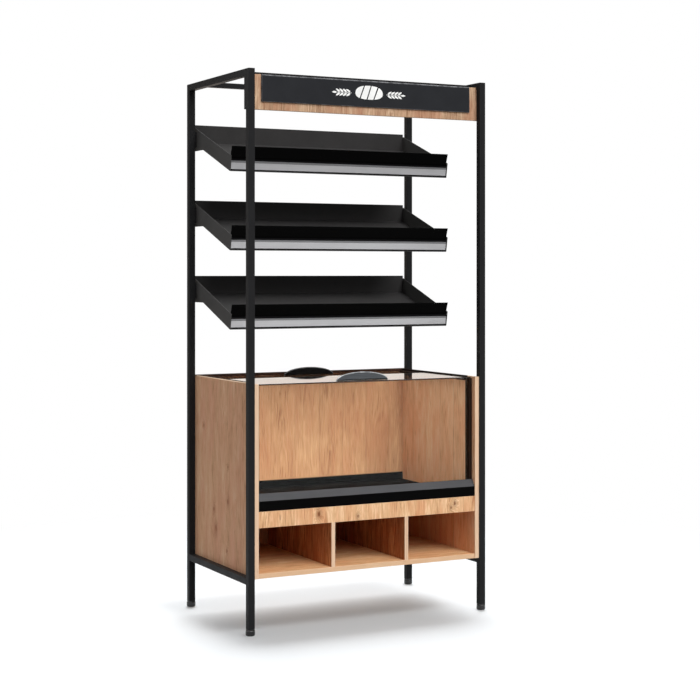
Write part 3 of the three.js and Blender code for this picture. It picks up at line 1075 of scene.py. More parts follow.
# The dividers' oak is a darker, redder copy of the same wood: painted shade inside the cubbies.
OAK_DIVIDER_SHADED = Oak("oak_inside", "oak_board", Grain.UPRIGHT,
                 light=(222, 160, 110), mid=(186, 120, 76), dark=(112, 60, 34),
                 blush=(176, 98, 58), contrast=1.3)
OAK_FLOOR = Oak("oak_floor", "oak_board", Grain.CROSSWISE,
                light=(242, 204, 158), mid=(226, 178, 130), dark=(182, 124, 82),
                blush=(214, 148, 100))
OAK_BAND = Oak("oak_band", "oak_board", Grain.UPRIGHT,
               light=(238, 214, 186), mid=(225, 192, 161), dark=(198, 160, 126),
               knot=(150, 104, 76), blush=(222, 182, 150), contrast=0.5)
OAK_BAND_LEVEL = Oak("oak_band_level", "oak_board", Grain.CROSSWISE,
                     light=(234, 204, 172), mid=(218, 180, 144), dark=(190, 146, 110),
                     knot=(146, 98, 70), blush=(214, 168, 132), contrast=0.5)
# The header's oak is a darker, greyer copy of the same wood: painted shade at the top of the rack.
OAK_HEADER_SHADED = Oak("oak_header", "oak_board", Grain.UPRIGHT,
                 light=(212, 180, 148), mid=(184, 150, 120), dark=(132, 88, 62),
                 blush=(182, 130, 102), contrast=1.4)


def make_piece(name: str, surface: Surface, finish: Finish, body: str,
               nodes: Sequence[str] = (), board: float = 0.0) -> None:
    """Makes a finished piece that moves with a body.

    Args:
        name: The piece's name.
        surface: Its shape in millimetres.
        finish: Its finish.
        body: The body that carries it.
        nodes: Solids that it stands for.
        board: Shift of the wood's figure, in metres.
    """
    mesh = bpy.data.meshes.new(name)
    mesh.from_pydata((surface.points * MM).tolist(), [], surface.faces)
    mesh.polygons.foreach_set("use_smooth", ~surface.flat)
    marks = {"edge": surface.edge, "board": np.full(len(surface.points), board)}
    for key, values in marks.items():
        attribute = mesh.attributes.new(key, "FLOAT", "POINT")
        attribute.data.foreach_set("value", values.astype(np.float32))
    mesh.materials.append(finish.material())
    mesh.update()
    piece = bpy.data.objects.new(name, mesh)
    bpy.context.scene.collection.objects.link(piece)
    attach(piece, body)
    if nodes:
        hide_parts(*nodes)
    LOG.info("%s: %d faces on %s", name, len(surface.faces), body)


@dataclass
class Frame:
    """The welded frame of square tube, with its plugs and levelling feet.

    Attributes:
        half_width: Half the width over the posts.
        half_depth: Half the depth over the posts.
        top: Height of the posts' tops.
        tube: Side of the main tube.
        cross_tube: Side of the cross rails' tube.
        corner: Radius of the tubes' corners.
        post_foot: Height of the posts' lower ends.
        leg: Height of the lower rails' undersides.
        top_cross: Y of the two upper cross rails.
        bottom_cross: Y of the two lower cross rails.
        flange: Thickness of the plugs' flanges.
        foot_radius: Radius of a foot.
        foot_height: Height of a foot.
        foot_edge: Radius of a foot's lower edge.
        foot_rim: Radius of a foot's upper edge.
        flutes: Number of flutes round a foot.
        flute_depth: Depth of the flutes.
        flute_band: Heights of the fluted band's edges.
        flute_end: Height in which the flutes run out.
        stud_radius: Radius of a foot's stud.
        stud_top: Height of the stud's end.
    """

    half_width: float = 500.0
    half_depth: float = 300.0
    top: float = 2043.0
    tube: float = 25.0
    cross_tube: float = 20.0
    corner: float = 1.0
    post_foot: float = 23.3
    leg: float = 182.0
    top_cross: Pair = (-184.0, 181.0)
    bottom_cross: Pair = (-160.0, 160.0)
    flange: float = 3.0
    foot_radius: float = 17.0
    foot_height: float = 20.0
    foot_edge: float = 5.0
    foot_rim: float = 3.0
    flutes: int = 24
    flute_depth: float = 0.45
    flute_band: Pair = (6.0, 15.5)
    flute_end: float = 1.2
    stud_radius: float = 5.0
    stud_top: float = 46.0

    def section(self, middle: Sequence[float], side: float) -> Outline:
        """The outer outline of a square tube.

        Args:
            middle: Middle of the section.
            side: Side of the square.

        Returns:
            The rounded outline.
        """
        half = side / 2.0
        low = (middle[0] - half, middle[1] - half)
        high = (middle[0] + half, middle[1] + half)
        return rectangle(low, high, self.corner)

    def build(self) -> None:
        """Makes every piece of the frame."""
        for end in End:
            for side in Side:
                self.corner_pieces(end, side)
        for side in Side:
            self.side_rails(side)
        for end in End:
            self.cross_rails(end)

    def corner_pieces(self, end: End, side: Side) -> None:
        """A post with its plug and foot.

        Args:
            end: Front or rear.
            side: Left or right.
        """
        corner = f"{end.label}_{side.label}"
        x = side.value * (self.half_width - self.tube / 2.0)
        y = end.value * (self.half_depth - self.tube / 2.0)
        section = self.section((x, y), self.tube)
        post = carried(section, Axis.Z, self.post_foot, self.top, edge=1.0)
        make_piece(f"tube_post_{corner}", post, FRAME_BLACK, Body.RACK.value, [f"post_{corner}"])
        flange = carried(section, Axis.Z, self.post_foot - self.flange, self.post_foot, edge=0.6)
        make_piece(f"plug_{corner}", flange, FOOT_BLACK, Body.RACK.value, [f"foot_plug_{corner}"])
        foot = self.foot((x, y))
        make_piece(f"levelling_foot_{corner}", foot, FOOT_BLACK, f"foot_{corner}", [f"foot_{corner}"])

    def foot(self, centre: Sequence[float]) -> Surface:
        """A fluted foot with a rounded sole and a stud.

        Args:
            centre: X and Y of its axis.

        Returns:
            The turned surface.
        """
        angle = np.linspace(0.0, np.pi / 2.0, 7)
        sole_radius = self.foot_radius - self.foot_edge * (1.0 - np.sin(angle))
        sole_height = self.foot_edge * (1.0 - np.cos(angle))
        sole = np.stack([sole_radius, sole_height], axis=1)
        top_radius = self.foot_radius - self.foot_rim * (1.0 - np.cos(angle))
        top_height = self.foot_height - self.foot_rim * (1.0 - np.sin(angle))
        shoulder = np.stack([top_radius, top_height], axis=1)
        lower, upper = self.flute_band
        heights = (lower, lower + self.flute_end, upper - self.flute_end, upper)
        band = np.array([[self.foot_radius, height] for height in heights])
        fillet, bevel = 0.3, 1.0
        stud = np.array([
            [self.stud_radius + fillet, self.foot_height],
            [self.stud_radius, self.foot_height + fillet],
            [self.stud_radius, self.stud_top - bevel],
            [self.stud_radius - bevel, self.stud_top],
        ])
        profile = np.concatenate([sole, band, shoulder, stud])
        depth = np.zeros(len(profile))
        depth[len(sole) + 1:len(sole) + 3] = self.flute_depth
        edge = np.zeros(len(profile))
        start = len(sole) + len(band)
        edge[start:start + len(shoulder)] = 1.0
        return turned(profile, edge, centre, around=144, flutes=self.flutes, flute_depth=depth)

    def side_rails(self, side: Side) -> None:
        """The upper and lower rail between the posts of one side.

        Args:
            side: Left or right.
        """
        x = side.value * (self.half_width - self.tube / 2.0)
        reach = self.half_depth - self.tube
        heights = {"top": self.top - self.tube / 2.0, "bottom": self.leg + self.tube / 2.0}
        for level, z in heights.items():
            rail = carried(self.section((x, z), self.tube), Axis.Y, -reach, reach, edge=0.4)
            node = f"{level}_rail_{side.label}"
            make_piece(f"tube_{node}", rail, FRAME_BLACK, Body.RACK.value, [node])

    def cross_rails(self, end: End) -> None:
        """The upper and lower cross rail near one end.

        Args:
            end: Front or rear.
        """
        index = 0 if end is End.FRONT else 1
        reach = self.half_width - self.tube
        places = {
            "top": (self.top_cross[index], self.top - self.cross_tube / 2.0),
            "bottom": (self.bottom_cross[index], self.leg + self.cross_tube / 2.0),
        }
        for level, place in places.items():
            rail = carried(self.section(place, self.cross_tube), Axis.X, -reach, reach, edge=0.4)
            node = f"{level}_cross_rail_{end.label}"
            make_piece(f"tube_{node}", rail, FRAME_BLACK, Body.RACK.value, [node])


@dataclass
class Header:
    """The wood header with its end brackets, sign and pictogram.

    Attributes:
        foot: Height of the board's lower edge.
        top: Height of its upper edge.
        face: Y of its front face.
        board: Its thickness.
        end: X of its ends.
        notch: X and Z of the corner that is cut out under each side rail.
        plate: Thickness of the brackets.
        flange: Width of the brackets' rear flange.
        sign_end: X of the sign's ends.
        sign_foot: Height of the sign's lower edge.
        sign_depth: Thickness of the sign.
        sign_edge: Radius of the sign's upper edge.
        loaf: Half width and half height of the loaf on the sign.
        loaf_middle: Height of the loaf's middle.
        loaf_base: Depth of the loaf below its middle, as a share of its height above.
        cuts: Number of cuts across the loaf.
        cut: Width of a cut.
        cut_lean: Lean of a cut, X for each unit of Z.
        relief: Height of the pictogram above the sign.
    """

    foot: float = 1897.0
    top: float = 2025.0
    face: float = -275.0
    board: float = 15.0
    end: float = 498.0
    notch: Pair = (474.0, 2017.0)
    plate: float = 2.0
    flange: float = 30.0
    sign_end: float = 440.0
    sign_foot: float = 1926.5
    sign_depth: float = 6.0
    sign_edge: float = 4.0
    loaf: Pair = (58.0, 30.0)
    loaf_middle: float = 1976.0
    loaf_base: float = 0.72
    cuts: int = 3
    cut: float = 5.0
    cut_lean: float = 0.3
    relief: float = 0.5

    def build(self) -> None:
        """Makes every piece of the header."""
        nx, nz = self.notch
        corners = [
            (-self.end, self.foot), (self.end, self.foot), (self.end, nz), (nx, nz),
            (nx, self.top), (-nx, self.top), (-nx, nz), (-self.end, nz),
        ]
        back = self.face + self.board
        board = carried(rounded(corners, 0.8), Axis.Y, self.face, back, edge=0.8)
        # The header board takes the darker copy of the oak as painted shade.
        make_piece("header_oak", board, OAK_HEADER_SHADED, Body.RACK.value, ["header_board"], board=0.019)
        for side in Side:
            self.bracket(side, back)
        self.sign()
        self.pictogram()

    def bracket(self, side: Side, back: float) -> None:
        """An angle bracket over one end of the board.

        Args:
            side: Left or right.
            back: Y of the board's rear face.
        """
        outer = self.end + self.plate
        inner = outer - self.flange
        corners = [
            (outer, self.face), (outer, back + self.plate), (inner, back + self.plate),
            (inner, back), (self.end, back), (self.end, self.face),
        ]
        placed = [(side.value * x, y) for x, y in corners]
        outline = rounded(placed, [0.6, 2.6, 0.6, 0.6, 0.6, 0.6])
        angle = carried(outline, Axis.Z, self.foot, self.notch[1], edge=0.5)
        node = f"header_bracket_{side.label}"
        make_piece(f"angle_{node}", angle, FRAME_BLACK, Body.RACK.value, [node])

    def sign(self) -> None:
        """The sign plate, with a rounded upper edge."""
        front = self.face - self.sign_depth
        corners = [
            (self.face, self.sign_foot), (self.face, self.top),
            (front, self.top), (front, self.sign_foot),
        ]
        outline = rounded(corners, [0.5, 0.5, self.sign_edge, 0.9], steps=6)
        plate = carried(outline, Axis.X, -self.sign_end, self.sign_end, edge=0.9)
        make_piece("sign_plate", plate, SIGN_BLACK, Body.RACK.value, ["sign_panel"])

    def pictogram(self) -> None:
        """A plain scored loaf between two ears of wheat, raised on the sign."""
        slices = [self.loaf_slice(number) for number in range(self.cuts + 1)]
        shape = slices[0]
        for part in slices[1:] + self.ears():
            shape = shape.joined(part)
        make_piece("sign_pictogram", shape, PICTOGRAM_WHITE, Body.RACK.value)

    def raised(self, points: Array) -> Surface:
        """An outline on the sign's face, as a thin raised shape.

        Args:
            points: X and Z of its outline.

        Returns:
            The thin surface.
        """
        front = self.face - self.sign_depth
        outline = Outline(points, np.zeros(len(points)))
        return carried(outline, Axis.Y, front - self.relief, front + 0.2, edge=0.15, steps=2)

    def loaf_slice(self, number: int) -> Surface:
        """One slice of the loaf between two slanting cuts.

        The loaf's upper edge is h.(1 - |x / w|^2.6)^(1 / 2.2) and its lower edge is the same
        curve below the middle, at a share of the height. A cut leans by x = c + lean.z.

        Args:
            number: The slice's number from the left.

        Returns:
            The thin surface.
        """
        half, high = self.loaf
        gap = self.cut
        pitch = 2.0 * half / (self.cuts + 1)
        lean = self.cut_lean * high
        share = np.linspace(0.0, 1.0, 28)
        left = -half + number * pitch + (gap / 2.0 if number else 0.0)
        right = -half + (number + 1) * pitch - (gap / 2.0 if number < self.cuts else 0.0)
        lean_left = lean if number else 0.0
        lean_right = lean if number < self.cuts else 0.0
        top_x = left + lean_left + (right + lean_right - left - lean_left) * share
        low_x = left - lean_left + (right - lean_right - left + lean_left) * share
        top_z = self.loaf_edge(top_x)
        low_z = -self.loaf_base * self.loaf_edge(low_x)
        upper = np.stack([top_x, top_z + self.loaf_middle], axis=1)
        lower = np.stack([low_x, low_z + self.loaf_middle], axis=1)
        return self.raised(np.concatenate([lower, upper[::-1]]))

    def loaf_edge(self, x: Array) -> Array:
        """Height of the loaf's edge above its middle.

        Args:
            x: Distance from the middle.

        Returns:
            The height, never quite 0, so that the ends stay open by a hair.
        """
        half, high = self.loaf
        inside = np.clip(1.0 - np.abs(x / half) ** 2.6, 0.0, 1.0)
        return np.maximum(high * inside ** (1.0 / 2.2), 0.4)

    def ears(self) -> list[Surface]:
        """Two ears of wheat, each of paired grains along a level stalk.

        A grain is a lens: for t from 0 to a full turn, (l.cos(t), b.sin(t).(1 - 0.3.cos(t))),
        turned by 32 degrees away from the stalk.

        Returns:
            One thin surface per grain and stalk.
        """
        first, pitch, pairs = 88.0, 14.5, 4
        long, thick, spread = 9.5, 3.6, 7.6
        turn = np.linspace(0.0, 2.0 * np.pi, 24, endpoint=False)
        belly = thick * np.sin(turn) * (1.0 - 0.3 * np.cos(turn))
        lens = np.stack([long * np.cos(turn), belly], axis=1)
        angle = math.radians(32.0)
        middle = np.array([0.0, self.loaf_middle])
        tip = first + pitch * pairs
        root, neck, stem = first - 14.0, tip - 9.0, 0.8
        stalk = np.array([(root, -stem), (neck, -stem), (neck, stem), (root, stem)])
        found = []
        for side in Side:
            mirror = np.array([side.value, 1.0])
            for lift in (-1.0, 1.0):
                turned_by = lift * angle
                spin = np.array([[math.cos(turned_by), math.sin(turned_by)],
                                 [-math.sin(turned_by), math.cos(turned_by)]])
                for row in range(pairs):
                    grain = lens @ spin + np.array([first + pitch * row, spread * lift])
                    found.append(self.raised(grain * mirror + middle))
            found.append(self.raised((lens + np.array([tip, 0.0])) * mirror + middle))
            found.append(self.raised(stalk * mirror + middle))
        return found


@dataclass
class Shelf:
    """A tilted tray with a lip, side plates, a price rail and spacers at the rear posts.

    Attributes:
        number: The shelf's number from below.
        base: Height of the tray's lower front corner.
        tilt: Slope of the floor in degrees.
        reach: Depth of the tray.
        rear: Y of its rear.
        tray_end: X of the tray's ends.
        sheet: Thickness of the sheet.
        side_height: Height of the side plates, square to the floor.
        nose: Lean of the front edge in degrees.
        hem: Height of the hem at the front.
        setback: Distance of the lip behind the hem's face.
        lip_height: Height of the lip.
        lip_foot: Depth of the lip's foot on the floor.
        wall: Height of the rear wall.
        ear: Length of the level ear at the rear.
        rail_height: Height of the price rail.
        rail_inset: Setback of its face behind the front edge.
        rail_sink: Depth of the sunk face.
        upper_hook: Height of the band above the sunk face.
        lower_hook: Height of the band below it.
        backing: Height of the mid-grey strip above the card, a painted shadow under the rail's upper
            hook.
        rail_gap: Gap at each end of the rail.
        tape: Gap between the rail and the tray.
        spacer: Width, height and lift of a spacer.
        post_middle: Y of the rear posts' middles.
        post_inner: X of the posts' inner faces.
    """

    number: int
    base: float
    tilt: float = 20.0
    reach: float = 355.0
    rear: float = 298.0
    tray_end: float = 467.0
    sheet: float = 2.0
    side_height: float = 58.5
    nose: float = 9.0
    hem: float = 4.0
    setback: float = 17.5
    lip_height: float = 93.5
    lip_foot: float = 14.0
    wall: float = 71.5
    ear: float = 88.0
    rail_height: float = 41.0
    rail_inset: float = 2.0
    rail_sink: float = 1.5
    upper_hook: float = 5.5
    lower_hook: float = 3.0
    backing: float = 8.5
    rail_gap: float = 1.0
    tape: float = 0.3
    spacer: Place = (20.0, 60.0, 15.0)
    post_middle: float = 287.5
    post_inner: float = 475.0

    @property
    def label(self) -> str:
        """The shelf's name in piece names."""
        return f"shelf_{self.number}"

    def at(self, along: float, up: float) -> Pair:
        """A point in the shelf's side view.

        Args:
            along: Distance along the floor from the lower front corner.
            up: Distance square to the floor.

        Returns:
            Y and Z.
        """
        tilt = math.radians(self.tilt)
        y = self.rear - self.reach + along * math.cos(tilt) - up * math.sin(tilt)
        return y, self.base + along * math.sin(tilt) + up * math.cos(tilt)

    def height_at(self, y: float, up: float) -> float:
        """Height of a line above the floor.

        Args:
            y: Where to read it.
            up: Its distance square to the floor.

        Returns:
            Z.
        """
        start_y, start_z = self.at(0.0, up)
        return start_z + (y - start_y) * math.tan(math.radians(self.tilt))

    def lean(self, up: float) -> float:
        """Distance of the sloping front edge behind the lower front corner."""
        return up * math.tan(math.radians(self.nose))

    def build(self) -> None:
        """Makes every piece of the shelf."""
        self.tray()
        self.price_rail()
        for side in Side:
            self.side_plate(side)

    def tray(self) -> None:
        """The folded floor with hem and rear wall, and the angle that forms the lip."""
        sheet = self.sheet
        inner = self.rear - sheet
        wall_top = self.height_at(self.rear, 0.0) + self.wall
        floor = [
            self.at(0.0, 0.0), (self.rear, self.height_at(self.rear, 0.0)), (self.rear, wall_top),
            (inner, wall_top), (inner, self.height_at(inner, sheet)),
            self.at(sheet, sheet), self.at(sheet, self.hem), self.at(0.0, self.hem),
        ]
        outline = rounded(floor, [1.6, 3.0, 0.8, 0.8, 1.0, 0.4, 0.7, 0.7])
        folded = carried(outline, Axis.X, -self.tray_end, self.tray_end, edge=0.4)
        make_piece(f"{self.label}_floor", folded, TRAY_BLACK, Body.RACK.value, [f"{self.label}_tray"])
        front, back = self.setback, self.setback + sheet
        lip = [
            self.at(front, sheet), self.at(front + self.lip_foot, sheet),
            self.at(front + self.lip_foot, 2.0 * sheet), self.at(back, 2.0 * sheet),
            self.at(back, self.lip_height), self.at(front, self.lip_height),
        ]
        outline = rounded(lip, [2.4, 0.7, 0.7, 0.6, 0.9, 0.9])
        angle = carried(outline, Axis.X, -self.tray_end, self.tray_end, edge=0.4)
        make_piece(f"{self.label}_lip", angle, LIP_BLACK, Body.RACK.value, [f"{self.label}_tray"])

    def face(self, up: float) -> float:
        """Place along the floor of the price rail's face."""
        return self.rail_inset + self.lean(up)

    def price_rail(self) -> None:
        """The grey rail in front of the lip, and the pale card in its sunk face, with a mid-grey strip
        above the card as painted shadow under the upper hook.
        """
        back = self.setback - self.tape
        foot = self.hem + self.tape
        top = foot + self.rail_height
        upper = top - self.upper_hook
        lower = foot + self.lower_hook
        sink = self.rail_sink
        face = self.face
        rail = [
            self.at(back, foot), self.at(back, top), self.at(face(top), top), self.at(face(upper), upper),
            self.at(face(upper) + sink, upper), self.at(face(lower) + sink, lower),
            self.at(face(lower), lower), self.at(face(foot), foot),
        ]
        outline = rounded(rail, [0.4, 0.4, 2.2, 0.6, 0.3, 0.3, 0.6, 0.8])
        end = self.tray_end - self.rail_gap
        body = carried(outline, Axis.X, -end, end, edge=0.4)
        node = f"{self.label}_price_rail"
        make_piece(f"{self.label}_rail_body", body, RAIL_DARK, Body.RACK.value, [node])
        room, end_room = 0.25, 1.0
        middle = upper - self.backing
        end -= end_room
        # The upper strip is painted shadow under the rail's hook; the lower one is the pale card.
        self.insert("backing", CARD_PAINTED_SHADOW, (middle + room, upper - room), thick=0.4, end=end)
        self.insert("card", CARD_GREY, (lower + room, middle), thick=0.8, end=end)

    def insert(self, name: str, finish: Brushed, span: Pair, thick: float, end: float) -> None:
        """A flat strip that lies in the price rail's sunk face.

        Args:
            name: Last part of the piece's name.
            finish: Its finish.
            span: Its lower and upper edge, square to the floor.
            thick: Its thickness.
            end: X of its ends.
        """
        low, high = span
        back_low, back_high = (self.face(up) + self.rail_sink for up in span)
        corners = [
            self.at(back_low, low), self.at(back_high, high),
            self.at(back_high - thick, high), self.at(back_low - thick, low),
        ]
        strip = carried(rounded(corners, 0.15), Axis.X, -end, end, edge=0.15)
        make_piece(f"{self.label}_rail_{name}", strip, finish, Body.RACK.value)

    def side_plate(self, side: Side) -> None:
        """A side plate with its ear, and the spacer between it and the rear post.

        Args:
            side: Left or right.
        """
        knee = self.rear - self.ear
        ear_z = self.height_at(knee, 0.0)
        corners = [
            self.at(0.0, 0.0), (knee, ear_z), (self.rear, ear_z),
            (self.rear, self.height_at(self.rear, self.side_height)),
            self.at(self.lean(self.side_height), self.side_height),
        ]
        outline = rounded(corners, [2.5, 8.0, 3.0, 3.0, 4.0])
        inner, outer = self.tray_end, self.tray_end + self.sheet
        spans = sorted((side.value * inner, side.value * outer))
        plate = carried(outline, Axis.X, *spans, edge=0.5)
        node = f"{self.label}_side_{side.label}"
        make_piece(f"{self.label}_plate_{side.label}", plate, PLATE_BLACK, Body.RACK.value, [node])

        width, height, lift = self.spacer
        low = (self.post_middle - width / 2.0, ear_z + lift)
        high = (self.post_middle + width / 2.0, ear_z + lift + height)
        spans = sorted((side.value * outer, side.value * self.post_inner))
        pad = carried(rectangle(low, high, 4.0), Axis.X, *spans, edge=0.5)
        node = f"{self.label}_spacer_{side.label}"
        make_piece(f"{self.label}_pad_{side.label}", pad, FRAME_BLACK, Body.RACK.value, [node])


@dataclass
class Carcass:
    """The oak cabinet: panels, bottom, deck, apron, dividers and edge bands.

    Attributes:
        inner: X of the side panels' inner faces.
        outer: X of their outer faces.
        front: Y of the side panels' front edges.
        face: Y of the apron's and the boards' fronts.
        rear: Y of the rear.
        board: Thickness of the boards.
        foot: Height of the lower edges.
        top: Height of the upper edges.
        deck: Height of the deck's upper face.
        apron_foot: Height of the apron's lower edge.
        divider: Thickness of the dividers.
        dividers: X of the dividers' middles.
        band: Thickness of the edge bands.
        arris: Radius of the boards' edges.
        band_arris: Radius of the bands' edges.
    """

    inner: float = 457.0
    outer: float = 475.0
    front: float = -294.0
    face: float = -291.0
    rear: float = 300.0
    board: float = 18.0
    foot: float = 202.0
    top: float = 904.0
    deck: float = 443.0
    apron_foot: float = 384.0
    divider: float = 15.0
    dividers: Pair = (-154.833, 154.833)
    band: float = 1.2
    arris: float = 0.7
    band_arris: float = 0.35

    def plank(self, name: str, low: Sequence[float], high: Sequence[float], finish: Oak,
              node: str, board: float) -> None:
        """A plain board between two corners, carried along X.

        Args:
            name: The piece's name.
            low: Lowest corner.
            high: Highest corner.
            finish: Its wood.
            node: The solid that it stands for.
            board: Shift of the wood's figure, in metres.
        """
        arris = self.band_arris if name.startswith("band") else self.arris
        shape = carried(rectangle(low[1:], high[1:], arris), Axis.X, low[0], high[0], edge=arris)
        make_piece(name, shape, finish, Body.RACK.value, [node], board)

    def build(self) -> None:
        """Makes every piece of the cabinet."""
        back = self.rear - self.board
        start = self.front + self.band
        for side in Side:
            spans = sorted((side.value * self.inner, side.value * self.outer))
            node = f"side_panel_{side.label}"
            top = self.top - self.band
            low, high = (spans[0], start, self.foot), (spans[1], self.rear, top)
            # The right panel takes the lighter copy of the oak as painted light.
            wood = OAK_UPRIGHT if side is Side.LEFT else OAK_RIGHT_LIT
            self.plank(f"oak_{node}", low, high, wood, node, board=0.0)
            low, high = (spans[0], start, top), (spans[1], self.rear, self.top)
            self.plank(f"band_top_{node}", low, high, OAK_BAND, node, board=0.67)
            low, high = (spans[0], self.front, self.foot), (spans[1], start, self.top)
            self.plank(f"band_{node}", low, high, OAK_BAND, node, board=0.31)
        wide = self.inner
        low, high = (-wide, back, self.foot), (wide, self.rear, self.top)
        # The back panel takes the darker copy of the oak as painted shade.
        self.plank("oak_back_panel", low, high, OAK_BACK_SHADED, "back_panel", board=1.27)
        floor_top = self.foot + self.board
        start = self.face + self.band
        low, high = (-wide, start, self.foot), (wide, back, floor_top)
        self.plank("oak_bottom_board", low, high, OAK_FLOOR, "bottom_board", board=0.4)
        low, high = (-wide, self.face, self.foot), (wide, start, floor_top)
        self.plank("band_bottom_board", low, high, OAK_BAND_LEVEL, "bottom_board", board=0.53)
        apron_back = self.face + self.board
        low, high = (-wide, apron_back, self.deck - self.board), (wide, back, self.deck)
        self.plank("oak_deck_board", low, high, OAK_FLOOR, "deck_board", board=0.9)
        low, high = (-wide, self.face, self.apron_foot), (wide, apron_back, self.deck)
        self.plank("oak_apron", low, high, OAK_FRONT, "apron", board=0.0995)
        for number, x in enumerate(self.dividers, start=1):
            self.divider_pieces(number, x, back, apron_back, floor_top)

    def divider_pieces(self, number: int, x: float, back: float,
                       apron_back: float, floor_top: float) -> None:
        """A divider, notched round the apron, with a band on its front edge.

        Args:
            number: The divider's number from the left.
            x: X of its middle.
            back: Y of the back panel's face.
            apron_back: Y of the apron's rear face.
            floor_top: Height of the bottom board's upper face.
        """
        node = f"divider_{number}"
        underside = self.deck - self.board
        start = self.face + self.band
        corners = [
            (start, floor_top), (back, floor_top), (back, underside),
            (apron_back, underside), (apron_back, self.apron_foot), (start, self.apron_foot),
        ]
        half = self.divider / 2.0
        shape = carried(rounded(corners, self.arris), Axis.X, x - half, x + half, edge=self.arris)
        # The divider takes the darker copy of the oak as painted shade.
        make_piece(f"oak_{node}", shape, OAK_DIVIDER_SHADED, Body.RACK.value, [node], board=0.17 * number)
        outline = rectangle((self.face, floor_top), (start, self.apron_foot), 0.3)
        band = carried(outline, Axis.X, x - half, x + half, edge=0.4)
        make_piece(f"band_{node}", band, OAK_BAND, Body.RACK.value, [node], board=0.23 * number)


@dataclass
class Bin:
    """The bin: folded tray with a grey painted sheen on its sloping lip, front glass and its channels.

    Attributes:
        inner: X of the side panels' inner faces.
        face: Y of the tray's upright front.
        back: Y of the back panel's face.
        deck: Height of the deck's upper face.
        sheet: Thickness of the tray's sheet.
        front_height: Height of the upright front.
        lip_rise: Rise of the sloping lip.
        lip_run: Depth of the sloping lip.
        back_height: Height of the rear edge above the floor.
        glass: Y of the glass faces.
        glass_end: X of the glass ends.
        glass_top: Height of the glass and the channels.
        channel: Y of the channels' front and rear.
        channel_lip: X of the channels' lips.
        channel_web: X of the slots' floors.
        slot: Y of the slots' sides.
        cover: Thickness of the grey layer on the sloping lip, a painted sheen.
        cover_span: Shares of the lip's slope between which the painted sheen lies.
    """

    inner: float = 457.0
    face: float = -291.0
    back: float = 282.0
    deck: float = 443.0
    sheet: float = 2.0
    front_height: float = 36.0
    lip_rise: float = 28.0
    lip_run: float = 16.0
    back_height: float = 30.0
    glass: Pair = (-263.5, -257.5)
    glass_end: float = 453.5
    glass_top: float = 897.5
    channel: Pair = (-271.0, -239.0)
    channel_lip: float = 445.0
    channel_web: float = 454.0
    slot: Pair = (-264.0, -257.0)
    cover: float = 0.6
    cover_span: Pair = (0.05, 0.985)

    def build(self) -> None:
        """Makes every piece of the bin."""
        self.tray()
        outline = rectangle((self.glass[0], self.deck + self.sheet), (self.glass[1], self.glass_top), 0.8)
        pane = carried(outline, Axis.X, -self.glass_end, self.glass_end, edge=0.8)
        make_piece("glass_pane", pane, CLEAR_FRONT, Body.RACK.value, ["front_glass"])
        for side in Side:
            self.channel_strip(side)

    def tray(self) -> None:
        """The folded tray, and a thin grey layer on its sloping lip that is painted sheen where the slope
        faces up.
        """
        sheet = self.sheet
        bend = self.deck + self.front_height
        tip_y, tip_z = self.face + self.lip_run, bend + self.lip_rise
        slope = math.hypot(self.lip_run, self.lip_rise)
        in_y = sheet * self.lip_rise / slope
        in_z = sheet * self.lip_run / slope
        inner_bend = bend - in_z + (sheet - in_y) * self.lip_rise / self.lip_run
        floor = self.deck + sheet
        corners = [
            (self.face, self.deck), (self.back, self.deck), (self.back, floor + self.back_height),
            (self.back - sheet, floor + self.back_height), (self.back - sheet, floor),
            (self.face + sheet, floor), (self.face + sheet, inner_bend), (tip_y + in_y, tip_z - in_z),
            (tip_y, tip_z), (self.face, bend),
        ]
        outline = rounded(corners, [2.6, 2.6, 0.8, 0.8, 1.0, 1.0, 1.5, 0.8, 0.8, 3.0])
        shape = carried(outline, Axis.X, -self.inner, self.inner, edge=0.4)
        make_piece("bin_tray_sheet", shape, LIP_BLACK, Body.RACK.value, ["bin_tray"])

        # A thin grey layer on the slope paints the sheen that the upward-facing lip catches.
        out_y, out_z = -self.cover * self.lip_rise / slope, self.cover * self.lip_run / slope
        strip = [
            (self.face + share * self.lip_run, bend + share * self.lip_rise)
            for share in self.cover_span
        ]
        raised = [(y + out_y, z + out_z) for y, z in strip]
        cover = carried(rounded([*strip, *raised[::-1]], 0.2), Axis.X, -self.inner, self.inner, edge=0.2)
        make_piece("bin_lip_cover", cover, LIP_PAINTED_SHEEN, Body.RACK.value)

    def channel_strip(self, side: Side) -> None:
        """The strip that holds one end of the glass in its slot.

        Args:
            side: Left or right.
        """
        front, rear = self.channel
        slot_front, slot_rear = self.slot
        corners = [
            (self.inner, front), (self.inner, rear),
            (self.channel_lip, rear), (self.channel_lip, slot_rear),
            (self.channel_web, slot_rear), (self.channel_web, slot_front),
            (self.channel_lip, slot_front), (self.channel_lip, front),
        ]
        placed = [(side.value * x, y) for x, y in corners]
        outline = rounded(placed, [0.4, 0.4, 1.2, 0.5, 0.3, 0.3, 0.5, 1.2])
        strip = carried(outline, Axis.Z, self.deck + self.sheet, self.glass_top, edge=0.4)
        node = f"glass_channel_{side.label}"
        make_piece(f"strip_{node}", strip, TRACK_BLACK, Body.RACK.value, [node])


